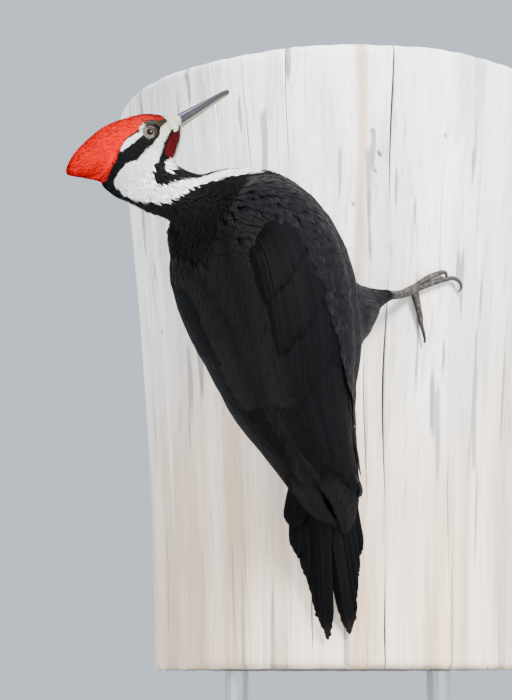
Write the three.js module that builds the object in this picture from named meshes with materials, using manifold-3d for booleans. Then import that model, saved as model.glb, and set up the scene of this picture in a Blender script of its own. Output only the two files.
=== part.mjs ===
// A male pileated woodpecker, life size, clinging to a cut length of weathered round pole that
// stands on a plain display base.  Millimetres, +z up.  The pole stands on the z axis, z = 0 is the
// underside of the base, and the bird clings to the pole's -y side with its back turned outwards,
// its tail braced on the wood and its head turned back over its shoulder.

import * as THREE from 'three';
import { mergeVertices } from 'three/addons/utils/BufferGeometryUtils.js';
import Module from 'manifold-3d';

const wasm = await Module();
wasm.setup();

// ---------------------------------------------------------------- driving dimensions

const GAP = 0.3; // clearance between neighbouring pieces

// The pole swells towards its top, where it is sawn off on a slight slant.
const POLE = { foot: 75, footRadius: 142, flare: 31, flareHeight: 437, flarePower: 1.8,
  top: 514.5, riseToFront: 13.5, riseToSide: 4, chamfer: 3 };
const BASE = { radius: 172, thickness: 20, chamfer: 2.5 };
const ROD = { radius: 9, spread: 78 };

// The body is a loft through numbered stations, from over the tail (0) to the nape (13):
// centre x, y, z; azimuth that the back faces (0 is -y, positive to +x); half width; height of the
// back over the centre; depth of the belly under it.
const BODY = [
  [3, -151, 152, -20, 17, 4, 5],
  [-2, -158, 170, -22, 22, 6, 7],
  [-10, -168, 194, -26, 25, 10, 13],
  [-17, -177, 216, -31, 28, 16, 22],
  [-26, -187, 239, -35, 35, 23, 32],
  [-37, -198, 270, -38, 48, 32, 45],
  [-45, -209, 307, -40, 59, 40, 54],
  [-57, -217, 346, -43, 64, 44, 54],
  [-75, -223, 378, -47, 58, 46, 46],
  [-93, -231, 394, -56, 43, 41, 27],
  [-110, -239, 401, -66, 26, 26, 15],
  [-126, -245, 409, -75, 20, 26, 14],
  [-137, -249, 419, -84, 17, 31, 14],
  [-146, -251, 428, -90, 13, 33, 10],
];
const TRUNK = { from: 2, roundedTo: 3.4, to: 9, sides: 24, ringsPerStation: 2.6 };

// The head is a loft along its own forward axis: distance forward of the eyes, height of the ring's
// centre, half width, height above the centre, depth below it.
const HEAD = { centre: [-137, -248, 444], pitch: 33, turn: 12, billFrom: 20, neckAt: -20,
  rings: [
    [-68, 3, 1, 1.2, 1.5],
    [-62, 3, 4, 6, 5],
    [-52, 1, 8.5, 12.8, 11],
    [-40, -3, 13.5, 19.9, 17],
    [-26, -7, 17.5, 25.8, 20],
    [-13, -8, 18.5, 25, 20],
    [0, -7, 17, 20.7, 19.5],
    [10, -6.5, 13.5, 14.5, 15],
    [17, -5.5, 9, 7.6, 9],
    [22, -4.5, 6.5, 5.4, 5.2],
  ] };
const CREST = { brow: [12, 7], nape: [-66, -1] }; // forward, up: where the crest parts from the head
const BILL = { gape: [20, -5.2], tip: [64, -2.6],
  rings: [
    [20, -4.3, 6.2, 5.4, 4.6],
    [34, -3.8, 4.9, 4.3, 3.4],
    [48, -3.2, 3.6, 2.7, 2.4],
    [58, -2.6, 2.6, 1.6, 1.5],
    [64, -2.2, 1.8, 0.5, 0.5],
  ] };
const EYE = { forward: -4.5, up: -3.6, out: 12.6, radius: 5.4 };

// A folded wing lies on the body: at each station, the angles from the middle of the back to its
// inner and outer edges, and how high its feathers stand.
const WING = { from: 1, to: 9.3, lift: 1.1, edge: 0.7, across: 8, along: 18,
  clearAngle: 0.8, clearStations: 0.04,
  stations: [1, 1.4, 2, 3, 4, 5, 6, 7, 8, 8.8, 9.3],
  inner: [5, 3, 2, 2, 3, 5, 8, 12, 20, 34, 50],
  outer: [20, 44, 70, 86, 92, 94, 94, 97, 98, 92, 78],
  height: [2.6, 3, 3.4, 4, 5, 6, 7, 8, 9, 7.5, 4.5] };

// Tail feathers, from the middle pair outwards: tip x, tip z, height of the tip off the wood, half
// width.  The right and the left bunch part slightly.  The outline is the share of the half width
// at shares of the length, and rootStation is where on the body the feathers leave it.
const TAIL = { root: [-17, -175, 213], rootStation: 2.6, spread: 2.6, stack: 1.3, bow: 5, thickness: 1.1,
  ridge: 0.75, covertsFrom: 0.7, covertsTo: 2.8, covertsRoundedTo: 1.8, covertSides: 12, covertsSunk: 1.5,
  right: [[3, 98, 1.2, 9.5], [5, 104, 1.6, 9.5], [6.5, 119, 3, 9.5], [7.5, 134, 5, 9.5], [10.5, 151, 9, 9.5],
    [11, 218, 30, 6]],
  left: [[-12, 95, 1.2, 10], [-15.5, 103, 1.6, 10.5], [-19, 118, 3, 10.5], [-25, 133, 5, 10],
    [-33, 152, 9, 10], [-41, 180, 20, 8]],
  outline: { share: [0, 0.3, 0.6, 0.9, 1], width: [0.4, 0.92, 1, 0.84, 0.25] } };

// Legs.  A thigh is a row of centre x, y, z and radius; feet stand on the pole, given as azimuth
// round the pole, height, and height off the wood.
const LEGS = {
  right: {
    thigh: [[-20, -196, 322, 30], [0, -195, 326, 27], [12, -191, 331, 17], [21, -186, 336, 8.5], [30, -181, 339.5, 4.6]],
    foot: [19.2, 349.5, 4.5],
    toes: {
      inner: { path: [[19.4, 351, 4], [23, 360, 3.4], [26, 364.5, 2.6]], claw: [30.5, 362] },
      middle: { path: [[20, 350, 4.2], [25, 357, 4.2], [30, 361.5, 2.8]], claw: [35, 353] },
      outer: { path: [[19, 347, 4.2], [20.5, 335, 3.6], [21.6, 324, 2.6]], claw: [22.6, 309] },
      hind: { path: [[20.4, 347, 3.6], [22, 340, 3], [22.9, 334, 2.2]], claw: [23.9, 325] },
    },
  },
  left: {
    thigh: [[-58, -200, 300, 28], [-70, -193, 298, 25], [-79, -184, 299, 17], [-84, -173, 301, 9.5], [-87, -162, 304, 4.6]],
    foot: [-34, 314, 4.5],
    toes: {
      inner: { path: [[-33.6, 316, 4], [-32.4, 327, 3.4], [-31.4, 336, 2.6]], claw: [-30.6, 348] },
      middle: { path: [[-34.4, 316, 4.2], [-36.4, 330, 4], [-37.6, 342, 2.8]], claw: [-38.6, 355] },
      outer: { path: [[-35, 313.5, 4.2], [-37.6, 309, 3.6], [-39.4, 303, 2.6]], claw: [-40.6, 293] },
      hind: { path: [[-34, 311, 3.6], [-34.4, 304, 3], [-34.8, 299, 2.2]], claw: [-35.2, 290] },
    },
  },
};
const THIGH_FLATTENING = 0.86;
const TARSUS = { top: 3.7, waist: 3, foot: 3.7, kneeDrop: 1.5 };
const TOE = { root: 2.7, tip: 1.9 };
const CLAW = { root: 1.8, tip: 0.35, arch: 6.5 };

// ---------------------------------------------------------------- materials

const paint = (color, roughness, metalness = 0) => new THREE.MeshStandardMaterial({ color, roughness, metalness });
const blackPlumage = paint(0x17181c, 0.6);
const redCrest = paint(0xd6281c, 0.7);
const horn = paint(0x4d5158, 0.4);
const scaledSkin = paint(0x6d655c, 0.7);
const wetEye = paint(0xb9ab93, 0.1);
const weatheredWood = paint(0xc9c0b4, 0.85);
const oiledWood = paint(0x4a3527, 0.45);
const steel = paint(0x9a9da0, 0.35, 0.9);

// ---------------------------------------------------------------- curves and rings

const radians = THREE.MathUtils.degToRad;

// Catmull-Rom row at parameter t, where whole numbers are the given rows.
function spline(rows, t) {
  const last = rows.length - 1;
  const i = Math.min(Math.floor(t), last - 1);
  const u = t - i;
  const row = (n) => {
    if (n < 0) return rows[0].map((value, j) => 2 * value - rows[1][j]);
    if (n > last) return rows[last].map((value, j) => 2 * value - rows[last - 1][j]);
    return rows[n];
  };
  const [p, q, r, s] = [row(i - 1), row(i), row(i + 1), row(i + 2)];
  return q.map((_, j) => 0.5 * (2 * q[j] + (r[j] - p[j]) * u
    + (2 * p[j] - 5 * q[j] + 4 * r[j] - s[j]) * u * u + (3 * q[j] - p[j] - 3 * r[j] + s[j]) * u ** 3));
}

// Straight-line value of a table at x.
function table(xs, ys, x) {
  const i = Math.min(Math.max(xs.findIndex((value) => value >= x), 1), xs.length - 1);
  const share = THREE.MathUtils.clamp((x - xs[i - 1]) / (xs[i] - xs[i - 1]), 0, 1);
  return ys[i - 1] + share * (ys[i] - ys[i - 1]);
}

const steps = (from, to, count) => Array.from({ length: count + 1 }, (_, i) => from + (to - from) * i / count);

// A closed solid through rings of equally many points; each end closes on a point.
function loftGeometry(rings) {
  const sides = rings[0].length;
  const points = rings.flat();
  for (const end of [rings[0], rings.at(-1)]) {
    points.push(end.reduce((sum, point) => sum.add(point), new THREE.Vector3()).divideScalar(sides));
  }
  const faces = [];
  for (let i = 0; i < rings.length - 1; i++) {
    for (let j = 0; j < sides; j++) {
      const [a, b] = [i * sides + j, i * sides + (j + 1) % sides];
      faces.push(a, b, b + sides, a, b + sides, a + sides);
    }
  }
  const lastRing = (rings.length - 1) * sides;
  for (let j = 0; j < sides; j++) {
    const next = (j + 1) % sides;
    faces.push(points.length - 2, next, j, points.length - 1, lastRing + j, lastRing + next);
  }
  const geometry = new THREE.BufferGeometry().setFromPoints(points);
  geometry.setIndex(faces);
  return geometry;
}

// Rings of a round tube of changing radius along points, for toes, claws, shanks and thighs.
function tubeRings(points, radii, sides, count, grow = 0, flatten = 1) {
  const curve = new THREE.CatmullRomCurve3(points);
  const up = new THREE.Vector3(0.31, -0.2, 0.93);
  return steps(0, 1, count).map((t) => {
    const centre = curve.getPoint(t);
    const along = curve.getTangent(t);
    const side = new THREE.Vector3().crossVectors(along, up).normalize();
    const top = new THREE.Vector3().crossVectors(side, along);
    const radius = table(steps(0, 1, radii.length - 1), radii, t) + grow;
    return steps(0, 2 * Math.PI, sides).slice(0, sides).map((angle) => centre.clone()
      .addScaledVector(side, radius * flatten * Math.cos(angle))
      .addScaledVector(top, radius * Math.sin(angle)));
  });
}

// ---------------------------------------------------------------- solids

function volume(points, faces) {
  let sum = 0;
  for (let i = 0; i < faces.length; i += 3) {
    const [a, b, c] = [0, 1, 2].map((j) => new THREE.Vector3().fromArray(points, 3 * faces[i + j]));
    sum += a.dot(b.cross(c)) / 6;
  }
  return sum;
}

// A three.js geometry as a solid that can be joined and cut.
function solid(geometry) {
  geometry.deleteAttribute('normal');
  geometry.deleteAttribute('uv');
  const merged = mergeVertices(geometry, 1e-4);
  const vertProperties = Float32Array.from(merged.attributes.position.array);
  const triVerts = Uint32Array.from(merged.index.array);
  if (volume(vertProperties, triVerts) < 0) triVerts.reverse();
  return new wasm.Manifold(new wasm.Mesh({ numProp: 3, vertProperties, triVerts }));
}

// The largest single body of a solid, without the crumbs that a cut may leave.
function largest(piece) {
  return piece.decompose().reduce((best, next) => (next.volume() > best.volume() ? next : best));
}

const model = new THREE.Group();

function addMesh(name, piece, material) {
  const { numProp, vertProperties, triVerts } = largest(piece).getMesh();
  const geometry = new THREE.BufferGeometry();
  const positions = new Float32Array(vertProperties.length / numProp * 3);
  for (let i = 0; i < positions.length; i++) {
    positions[i] = vertProperties[Math.floor(i / 3) * numProp + i % 3];
  }
  geometry.setAttribute('position', new THREE.BufferAttribute(positions, 3));
  geometry.setIndex(new THREE.BufferAttribute(Uint32Array.from(triVerts), 1));
  geometry.computeVertexNormals();
  const mesh = new THREE.Mesh(geometry, material);
  mesh.name = name;
  model.add(mesh);
}

// Everything on the side of a plane that its normal points to, as a large box.
function halfSpace(point, normal) {
  const size = 2000;
  const box = new THREE.BoxGeometry(size, size, size);
  box.translate(0, 0, size / 2);
  box.applyQuaternion(new THREE.Quaternion().setFromUnitVectors(new THREE.Vector3(0, 0, 1), normal));
  box.translate(...point.toArray());
  return solid(box);
}

// The two sides of a plane, half a gap away from it each.
function twoSides(point, normal) {
  const ahead = halfSpace(point.clone().addScaledVector(normal, GAP / 2), normal);
  const behind = halfSpace(point.clone().addScaledVector(normal, -GAP / 2), normal.clone().negate());
  return { ahead, behind };
}

// ---------------------------------------------------------------- stand and pole

function cylinderAlongZ(radius, from, to, sides, chamfer) {
  const profile = [[0, from], [radius - chamfer, from], [radius, from + chamfer], [radius, to - chamfer],
    [radius - chamfer, to], [0, to]];
  const lathe = new THREE.LatheGeometry(profile.map(([r, z]) => new THREE.Vector2(r, z)), sides);
  return solid(lathe.rotateX(Math.PI / 2));
}

const poleRadius = (z) => POLE.footRadius
  + POLE.flare * (Math.max(z - POLE.foot, 0) / POLE.flareHeight) ** POLE.flarePower;

function makeStand() {
  addMesh('stand_base', cylinderAlongZ(BASE.radius, 0, BASE.thickness, 40, BASE.chamfer), oiledWood);
  for (const [name, x] of [['stand_rod_left', -ROD.spread], ['stand_rod_right', ROD.spread]]) {
    const rod = cylinderAlongZ(ROD.radius, BASE.thickness + GAP, POLE.foot - GAP, 12, 0.4);
    addMesh(name, rod.translate([x, 0, 0]), steel);
  }
}

function makePole() {
  const overTop = POLE.top + POLE.riseToFront + POLE.riseToSide + 10;
  const wall = steps(POLE.foot + POLE.chamfer, overTop, 5).map((z) => [poleRadius(z), z]);
  const profile = [[0, POLE.foot], [POLE.footRadius - POLE.chamfer, POLE.foot], ...wall, [0, overTop]];
  const lathe = new THREE.LatheGeometry(profile.map(([r, z]) => new THREE.Vector2(r, z)), 36);
  const topRadius = poleRadius(POLE.top);
  const slant = new THREE.Vector3(-POLE.riseToSide / topRadius, POLE.riseToFront / topRadius, 1).normalize();
  const sawCut = halfSpace(new THREE.Vector3(0, 0, POLE.top), slant);
  addMesh('perch_pole', solid(lathe.rotateX(Math.PI / 2)).subtract(sawCut), weatheredWood);
}

// Point off the pole's surface: azimuth from -y towards +x, height, height off the wood.
function onPole([azimuth, z, lift]) {
  const reach = poleRadius(z) + lift;
  return new THREE.Vector3(reach * Math.sin(radians(azimuth)), -reach * Math.cos(radians(azimuth)), z);
}

// ---------------------------------------------------------------- body coordinates

// Centre, directions and sizes of the body's cross-section at a station number.
function crossSection(k) {
  const [x, y, z, azimuth, halfWidth, back, belly] = spline(BODY, k);
  const step = 0.02;
  const ahead = spline(BODY, Math.min(k + step, BODY.length - 1));
  const behind = spline(BODY, Math.max(k - step, 0));
  const along = new THREE.Vector3(...ahead.slice(0, 3)).sub(new THREE.Vector3(...behind.slice(0, 3))).normalize();
  const up = new THREE.Vector3(Math.sin(radians(azimuth)), -Math.cos(radians(azimuth)), 0);
  up.addScaledVector(along, -up.dot(along)).normalize();
  const right = new THREE.Vector3().crossVectors(along, up);
  return { centre: new THREE.Vector3(x, y, z), along, up, right, halfWidth, back, belly };
}

// Point of the body's surface: station, angle from the middle of the back towards the bird's right,
// height over the feathers.
function onBody(k, angle, lift = 0, scale = 1) {
  const { centre, up, right, halfWidth, back, belly } = crossSection(k);
  const [sine, cosine] = [Math.sin(radians(angle)), Math.cos(radians(angle))];
  const height = cosine > 0 ? back : belly;
  const outward = new THREE.Vector3().addScaledVector(right, sine * height)
    .addScaledVector(up, cosine * halfWidth).normalize();
  return centre.clone().addScaledVector(right, halfWidth * scale * sine)
    .addScaledVector(up, height * scale * cosine).addScaledVector(outward, lift);
}

// The body's loft between two stations; its lower end is rounded off up to a third one.
function bodyLoft(from, to, grow = 0, roundedTo = TRUNK.roundedTo, sides = TRUNK.sides) {
  const rings = steps(from, to, Math.round((to - from) * TRUNK.ringsPerStation)).map((k) => {
    const short = THREE.MathUtils.clamp((roundedTo - k) / (roundedTo - from), 0, 1);
    const scale = 0.25 + 0.75 * Math.sqrt(1 - short ** 2);
    return steps(0, 360, sides).slice(0, sides).map((angle) => onBody(k, angle, grow, scale));
  });
  return solid(loftGeometry(rings));
}

// ---------------------------------------------------------------- head coordinates

const headForward = new THREE.Vector3(
  Math.cos(radians(HEAD.pitch)) * Math.cos(radians(HEAD.turn)),
  Math.sin(radians(HEAD.turn)),
  Math.sin(radians(HEAD.pitch)) * Math.cos(radians(HEAD.turn)),
);
const headUp = new THREE.Vector3(-Math.sin(radians(HEAD.pitch)), 0, Math.cos(radians(HEAD.pitch)));
headUp.addScaledVector(headForward, -headUp.dot(headForward)).normalize();
const headRight = new THREE.Vector3().crossVectors(headForward, headUp);

function inHead(forward, up, right = 0) {
  return new THREE.Vector3(...HEAD.centre).addScaledVector(headForward, forward)
    .addScaledVector(headUp, up).addScaledVector(headRight, right);
}

function headLoft(rows, sides, count, grow = 0) {
  const rings = steps(0, rows.length - 1, count).map((t) => {
    const [forward, centre, halfWidth, above, below] = spline(rows, t);
    return steps(0, 2 * Math.PI, sides).slice(0, sides).map((angle) => {
      const height = Math.cos(angle) > 0 ? above : below;
      return inHead(forward, centre + (height + grow) * Math.cos(angle), (halfWidth + grow) * Math.sin(angle));
    });
  });
  return solid(loftGeometry(rings));
}

// Unit normal, in the head's middle plane, of the line from one point (forward, up) to another.
function seamNormal(from, to) {
  const line = inHead(...to).sub(inHead(...from)).normalize();
  return new THREE.Vector3().crossVectors(headRight, line).normalize();
}

// ---------------------------------------------------------------- trunk, neck, head, bill, eyes

const wholeBody = bodyLoft(TRUNK.from, BODY.length - 1).add(headLoft(HEAD.rings, 18, 13));
const grownBody = bodyLoft(TRUNK.from, BODY.length - 1, GAP).add(headLoft(HEAD.rings, 18, 13, GAP));

function makeBodyAndHead() {
  const atBill = twoSides(inHead(HEAD.billFrom, 0), headForward);
  const crestSeam = twoSides(inHead(...CREST.brow), seamNormal(CREST.nape, CREST.brow));
  const neckSeam = twoSides(inHead(0, HEAD.neckAt), headUp);
  const shoulder = crossSection(TRUNK.to);
  const trunkSeam = twoSides(shoulder.centre, shoulder.along);

  const eyes = [['eye_right', EYE.out], ['eye_left', -EYE.out]].map(([name, out]) => {
    const centre = inHead(EYE.forward, EYE.up, out).toArray();
    const ball = solid(new THREE.SphereGeometry(EYE.radius, 14, 8)).translate(centre);
    const socket = solid(new THREE.SphereGeometry(EYE.radius + GAP, 12, 7)).translate(centre);
    return { name, ball, socket };
  });

  addMesh('trunk', wholeBody.intersect(trunkSeam.behind), blackPlumage);
  const aheadOfTrunk = wholeBody.intersect(trunkSeam.ahead);
  addMesh('neck', aheadOfTrunk.intersect(neckSeam.behind), blackPlumage);
  let skull = aheadOfTrunk.intersect(neckSeam.ahead).intersect(atBill.behind);
  for (const { socket } of eyes) skull = skull.subtract(socket);
  addMesh('head', skull.intersect(crestSeam.behind), blackPlumage);
  addMesh('crest', skull.intersect(crestSeam.ahead), redCrest);

  const bill = headLoft(BILL.rings, 12, 5).intersect(atBill.ahead);
  const gape = twoSides(inHead(...BILL.gape), seamNormal(BILL.gape, BILL.tip));
  addMesh('bill_upper', bill.intersect(gape.ahead), horn);
  addMesh('bill_lower', bill.intersect(gape.behind), horn);
  for (const { name, ball } of eyes) addMesh(name, ball, wetEye);
}

// ---------------------------------------------------------------- wings

function wingShell(side, grow = 0) {
  const wider = grow > 0 ? WING.clearAngle : 0;
  const longer = grow > 0 ? WING.clearStations : 0;
  const rings = steps(WING.from - longer, WING.to + longer, WING.along).map((k) => {
    const [innerEdge, outerEdge, height] = [WING.inner, WING.outer, WING.height]
      .map((row) => table(WING.stations, row, k));
    const [inner, outer] = [innerEdge - wider, outerEdge + wider];
    const bottom = steps(0, 1, WING.across);
    const lower = bottom.map((share) => onBody(k, side * (inner + (outer - inner) * share), WING.lift - grow));
    const upper = bottom.map((share) => {
      const swell = Math.sqrt(Math.sin(Math.PI * share));
      return onBody(k, side * (inner + (outer - inner) * share), WING.lift + WING.edge + height * swell + grow);
    });
    return [...lower, ...upper.reverse()];
  });
  return solid(loftGeometry(rings));
}

const wingSolids = { right: wingShell(1), left: wingShell(-1) };

function makeWings() {
  for (const [side, wing] of Object.entries(wingSolids)) addMesh(`wing_${side}`, wing, blackPlumage);
}

// ---------------------------------------------------------------- tail

// One tail feather: a pointed blade, bowed outwards, from the rump to its tip on the wood.
function tailFeather([tipX, tipZ, lift, halfWidth], number, side) {
  const { up, right } = crossSection(TAIL.rootStation);
  const root = new THREE.Vector3(...TAIL.root).addScaledVector(right, side * TAIL.spread * number)
    .addScaledVector(up, -TAIL.stack * number);
  const reach = poleRadius(tipZ) + lift + TAIL.thickness;
  const tip = new THREE.Vector3(tipX, -Math.sqrt(reach ** 2 - tipX ** 2), tipZ);
  const middle = root.clone().lerp(tip, 0.5).addScaledVector(up, TAIL.bow);
  const path = new THREE.QuadraticBezierCurve3(root, middle, tip);
  const rings = TAIL.outline.share.map((share, i) => {
    const centre = path.getPoint(share);
    const across = new THREE.Vector3().crossVectors(path.getTangent(share), up).normalize().negate();
    const over = new THREE.Vector3().crossVectors(across, path.getTangent(share)).normalize();
    const width = halfWidth * TAIL.outline.width[i];
    return [[-1, 0], [0, TAIL.ridge], [1, 0], [0, -TAIL.ridge]].map(([u, v]) => centre.clone()
      .addScaledVector(across, width * u).addScaledVector(over, TAIL.thickness * v));
  });
  return solid(loftGeometry(rings));
}

function makeTail() {
  // The coverts round the feathers' roots carry on the body's own loft.
  const coverts = bodyLoft(TAIL.covertsFrom, TAIL.covertsTo, -TAIL.covertsSunk, TAIL.covertsRoundedTo, TAIL.covertSides);
  const feathers = [...TAIL.right.map((row, i) => tailFeather(row, i + 0.5, 1)),
    ...TAIL.left.map((row, i) => tailFeather(row, i + 0.5, -1))];
  let tail = feathers.reduce((sum, feather) => sum.add(feather), coverts);
  for (const piece of [grownBody, wingShell(1, GAP), wingShell(-1, GAP)]) tail = tail.subtract(piece);
  addMesh('tail', tail, blackPlumage);
}

// ---------------------------------------------------------------- legs

function makeLeg(side) {
  const leg = LEGS[side];
  const thighPoints = leg.thigh.map(([x, y, z]) => new THREE.Vector3(x, y, z));
  const thighRadii = leg.thigh.map((row) => row[3]);
  const thigh = (grow) => solid(loftGeometry(tubeRings(thighPoints, thighRadii, 12, 8, grow, THIGH_FLATTENING)));
  const ankle = thighPoints.at(-1);
  const foot = onPole(leg.foot);
  const knuckle = foot.clone().lerp(ankle, 0.5).add(new THREE.Vector3(0, 0, -TARSUS.kneeDrop));
  const shank = (grow) => solid(loftGeometry(tubeRings([ankle, knuckle, foot],
    [TARSUS.top, TARSUS.waist, TARSUS.foot], 8, 5, grow)));

  let taken = grownBody.add(wingShell(1, GAP)).add(wingShell(-1, GAP));
  addMesh(`thigh_${side}`, thigh(0).subtract(taken), blackPlumage);
  taken = taken.add(thigh(GAP));
  addMesh(`tarsus_${side}`, shank(0).subtract(taken), scaledSkin);
  taken = taken.add(shank(GAP));
  for (const [name, { path, claw }] of Object.entries(leg.toes)) {
    const points = path.map(onPole);
    const toe = (grow) => solid(loftGeometry(tubeRings(points, [TOE.root, TOE.tip], 6, 3, grow)));
    addMesh(`toe_${name}_${side}`, toe(0).subtract(taken), scaledSkin);
    taken = taken.add(toe(GAP));
    const [azimuth, z, lift] = path.at(-1);
    const arch = onPole([(azimuth + claw[0]) / 2, (z + claw[1]) / 2, lift + CLAW.arch]);
    const clawPoints = [points.at(-1), arch, onPole([...claw, 0.8])];
    const talon = (grow) => solid(loftGeometry(tubeRings(clawPoints, [CLAW.root, CLAW.tip], 5, 4, grow)));
    addMesh(`claw_${name}_${side}`, talon(0).subtract(taken), horn);
    taken = taken.add(talon(GAP));
  }
}

makeStand();
makePole();
makeBodyAndHead();
makeWings();
makeTail();
makeLeg('right');
makeLeg('left');

export default model;
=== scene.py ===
import bmesh
import bpy
import numpy as np
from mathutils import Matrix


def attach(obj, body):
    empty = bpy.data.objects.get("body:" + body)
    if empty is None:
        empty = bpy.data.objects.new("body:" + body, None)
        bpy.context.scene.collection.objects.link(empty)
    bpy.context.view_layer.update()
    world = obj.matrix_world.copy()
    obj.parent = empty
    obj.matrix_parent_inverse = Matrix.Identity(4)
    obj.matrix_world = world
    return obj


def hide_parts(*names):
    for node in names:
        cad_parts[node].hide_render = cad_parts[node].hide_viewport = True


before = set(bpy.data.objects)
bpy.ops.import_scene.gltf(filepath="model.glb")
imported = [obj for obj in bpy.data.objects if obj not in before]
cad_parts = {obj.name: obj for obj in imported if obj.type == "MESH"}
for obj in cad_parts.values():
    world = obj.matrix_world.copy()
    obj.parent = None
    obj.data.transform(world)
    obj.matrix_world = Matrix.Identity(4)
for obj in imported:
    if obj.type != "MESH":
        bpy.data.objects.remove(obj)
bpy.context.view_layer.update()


# ---- Studio -------------------------------------------------------------------------------
# A pale floor, a pale sky and soft lamps.  The long lens stands just over the floor, nearly
# level with the foot of the pole, and looks a little upwards at the bird.

def look(name, data, place, turn):
    """Puts a camera or lamp at a place in metres, turned by Euler angles in degrees."""
    thing = bpy.data.objects.new(name, data)
    bpy.context.scene.collection.objects.link(thing)
    thing.location = place
    thing.rotation_euler = np.radians(turn)
    return thing


# Millimetres; metres; degrees.
FOCAL_LENGTH = 123.14
LENS_PLACE = (-0.06319, -1.87346, 0.06241)
LENS_TURN = (98, 0, 0)

lens = bpy.data.cameras.new("camera")
lens.lens = FOCAL_LENGTH
lens.sensor_width = 36
lens.clip_end = 30
bpy.context.scene.camera = look("camera", lens, LENS_PLACE, LENS_TURN)

for lamp_name, watts, size, place, turn in (
    ("key_lamp", 262, 0.8, (1.15, -1.7, 1.75), (50, 0, 32)),
    ("fill_lamp", 45, 1.6, (-1.9, -1.5, 0.9), (68, 0, -52)),
    ("top_lamp", 40, 1.4, (-0.4, 0.9, 2.1), (-26, 0, 0)),
):
    lamp = bpy.data.lights.new(lamp_name, "AREA")
    lamp.energy = watts
    lamp.size = size
    look(lamp_name, lamp, place, turn)

sky = bpy.data.worlds.new("sky")
sky.use_nodes = True
sky.node_tree.nodes["Background"].inputs["Color"].default_value = (0.60, 0.68, 0.78, 1)
sky.node_tree.nodes["Background"].inputs["Strength"].default_value = 1.2
bpy.context.scene.world = sky


class Signal:
    """One output of a shader node; sums, differences and products of it add Math nodes."""

    def __init__(self, finish, socket):
        self.finish = finish
        self.socket = socket

    def maths(self, operation, *values):
        """A Math node's output."""
        return self.finish.node("ShaderNodeMath", {"operation": operation}, values)

    def __add__(self, other):
        return self.maths("ADD", self, other)

    def __sub__(self, other):
        return self.maths("SUBTRACT", self, other)

    def __rsub__(self, other):
        return self.maths("SUBTRACT", other, self)

    def __mul__(self, other):
        return self.maths("MULTIPLY", self, other)

    def __abs__(self):
        return self.maths("ABSOLUTE", self)

    __radd__ = __add__
    __rmul__ = __mul__

    def sine(self):
        """Its sine."""
        return self.maths("SINE", self)

    def part(self, axis):
        """One part of a vector: 0, 1 or 2."""
        return self.finish.node("ShaderNodeSeparateXYZ", {}, {0: self}, axis)

    def between(self, low, high):
        """0 below low, 1 above high, smooth between them."""
        return self.finish.node("ShaderNodeMapRange", {"interpolation_type": "SMOOTHSTEP"},
                                {"Value": self, "From Min": low, "From Max": high})


class Finish:
    """A material with one surface; uniform values are named as the surface's sockets are."""

    def __init__(self, name, **uniform):
        self.material = bpy.data.materials.new(name)
        self.material.use_nodes = True
        self.tree = self.material.node_tree
        self.surface = self.tree.nodes["Principled BSDF"]
        for socket, value in uniform.items():
            self.surface.inputs[socket.replace("_", " ")].default_value = value

    def node(self, kind, settings=None, values=(), output=0):
        """Adds a node, with its settings first and then its inputs' values or links."""
        made = self.tree.nodes.new(kind)
        for key, setting in (settings or {}).items():
            setattr(made, key, setting)
        for key, value in values.items() if isinstance(values, dict) else enumerate(values):
            if isinstance(value, Signal):
                self.tree.links.new(value.socket, made.inputs[key])
            else:
                made.inputs[key].default_value = value
        return Signal(self, made.outputs[output])

    def place(self, scale=(1, 1, 1)):
        """Object coordinates, stretched."""
        here = self.node("ShaderNodeTexCoord", output=3)
        return self.node("ShaderNodeMapping", {}, {"Vector": here, "Scale": scale})

    def noise(self, where, scale=1.0, detail=4.0, roughness=0.55):
        """Cloudy noise from 0 to 1 at places."""
        return self.node("ShaderNodeTexNoise", {}, {"Vector": where, "Scale": scale, "Detail": detail,
                                                    "Roughness": roughness})

    def attribute(self, name):
        """A colour kept at the mesh's points."""
        return self.node("ShaderNodeAttribute", {"attribute_name": name})

    def pair(self, x, y):
        """A place from its first two parts."""
        return self.node("ShaderNodeCombineXYZ", {}, {0: x, 1: y})

    def own_map(self, name):
        """Across and along a piece by its own map."""
        here = self.node("ShaderNodeUVMap", {"uv_map": name})
        return here.part(0), here.part(1)

    def blend(self, low, high, share):
        """Colour between two colours or signals."""
        low, high = (c if isinstance(c, Signal) else (*c, 1) for c in (low, high))
        return self.node("ShaderNodeMix", {"data_type": "RGBA"}, {0: share, 6: low, 7: high}, 2)

    def drive(self, **inputs):
        """Links signals to the surface's sockets."""
        for socket, signal in inputs.items():
            self.tree.links.new(signal.socket, self.surface.inputs[socket.replace("_", " ")])

    def relief(self, height, distance):
        """Bumps the surface by a height signal, at most distance metres deep."""
        self.drive(Normal=self.node("ShaderNodeBump", {}, {"Height": height, "Distance": distance}))


def quads(rows, columns, ring=False, count=1):
    """Corner numbers of the faces of count grids of rows by columns, closed round if ring."""
    i = np.arange(rows - 1)[:, None] * columns
    j = np.arange(columns if ring else columns - 1)[None]
    after = (j + 1) % columns
    one = np.stack([i + j, i + after, i + columns + after, i + columns + j], -1).reshape(-1, 4)
    return (one[None] + np.arange(count)[:, None, None] * rows * columns).reshape(-1, 4)


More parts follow.
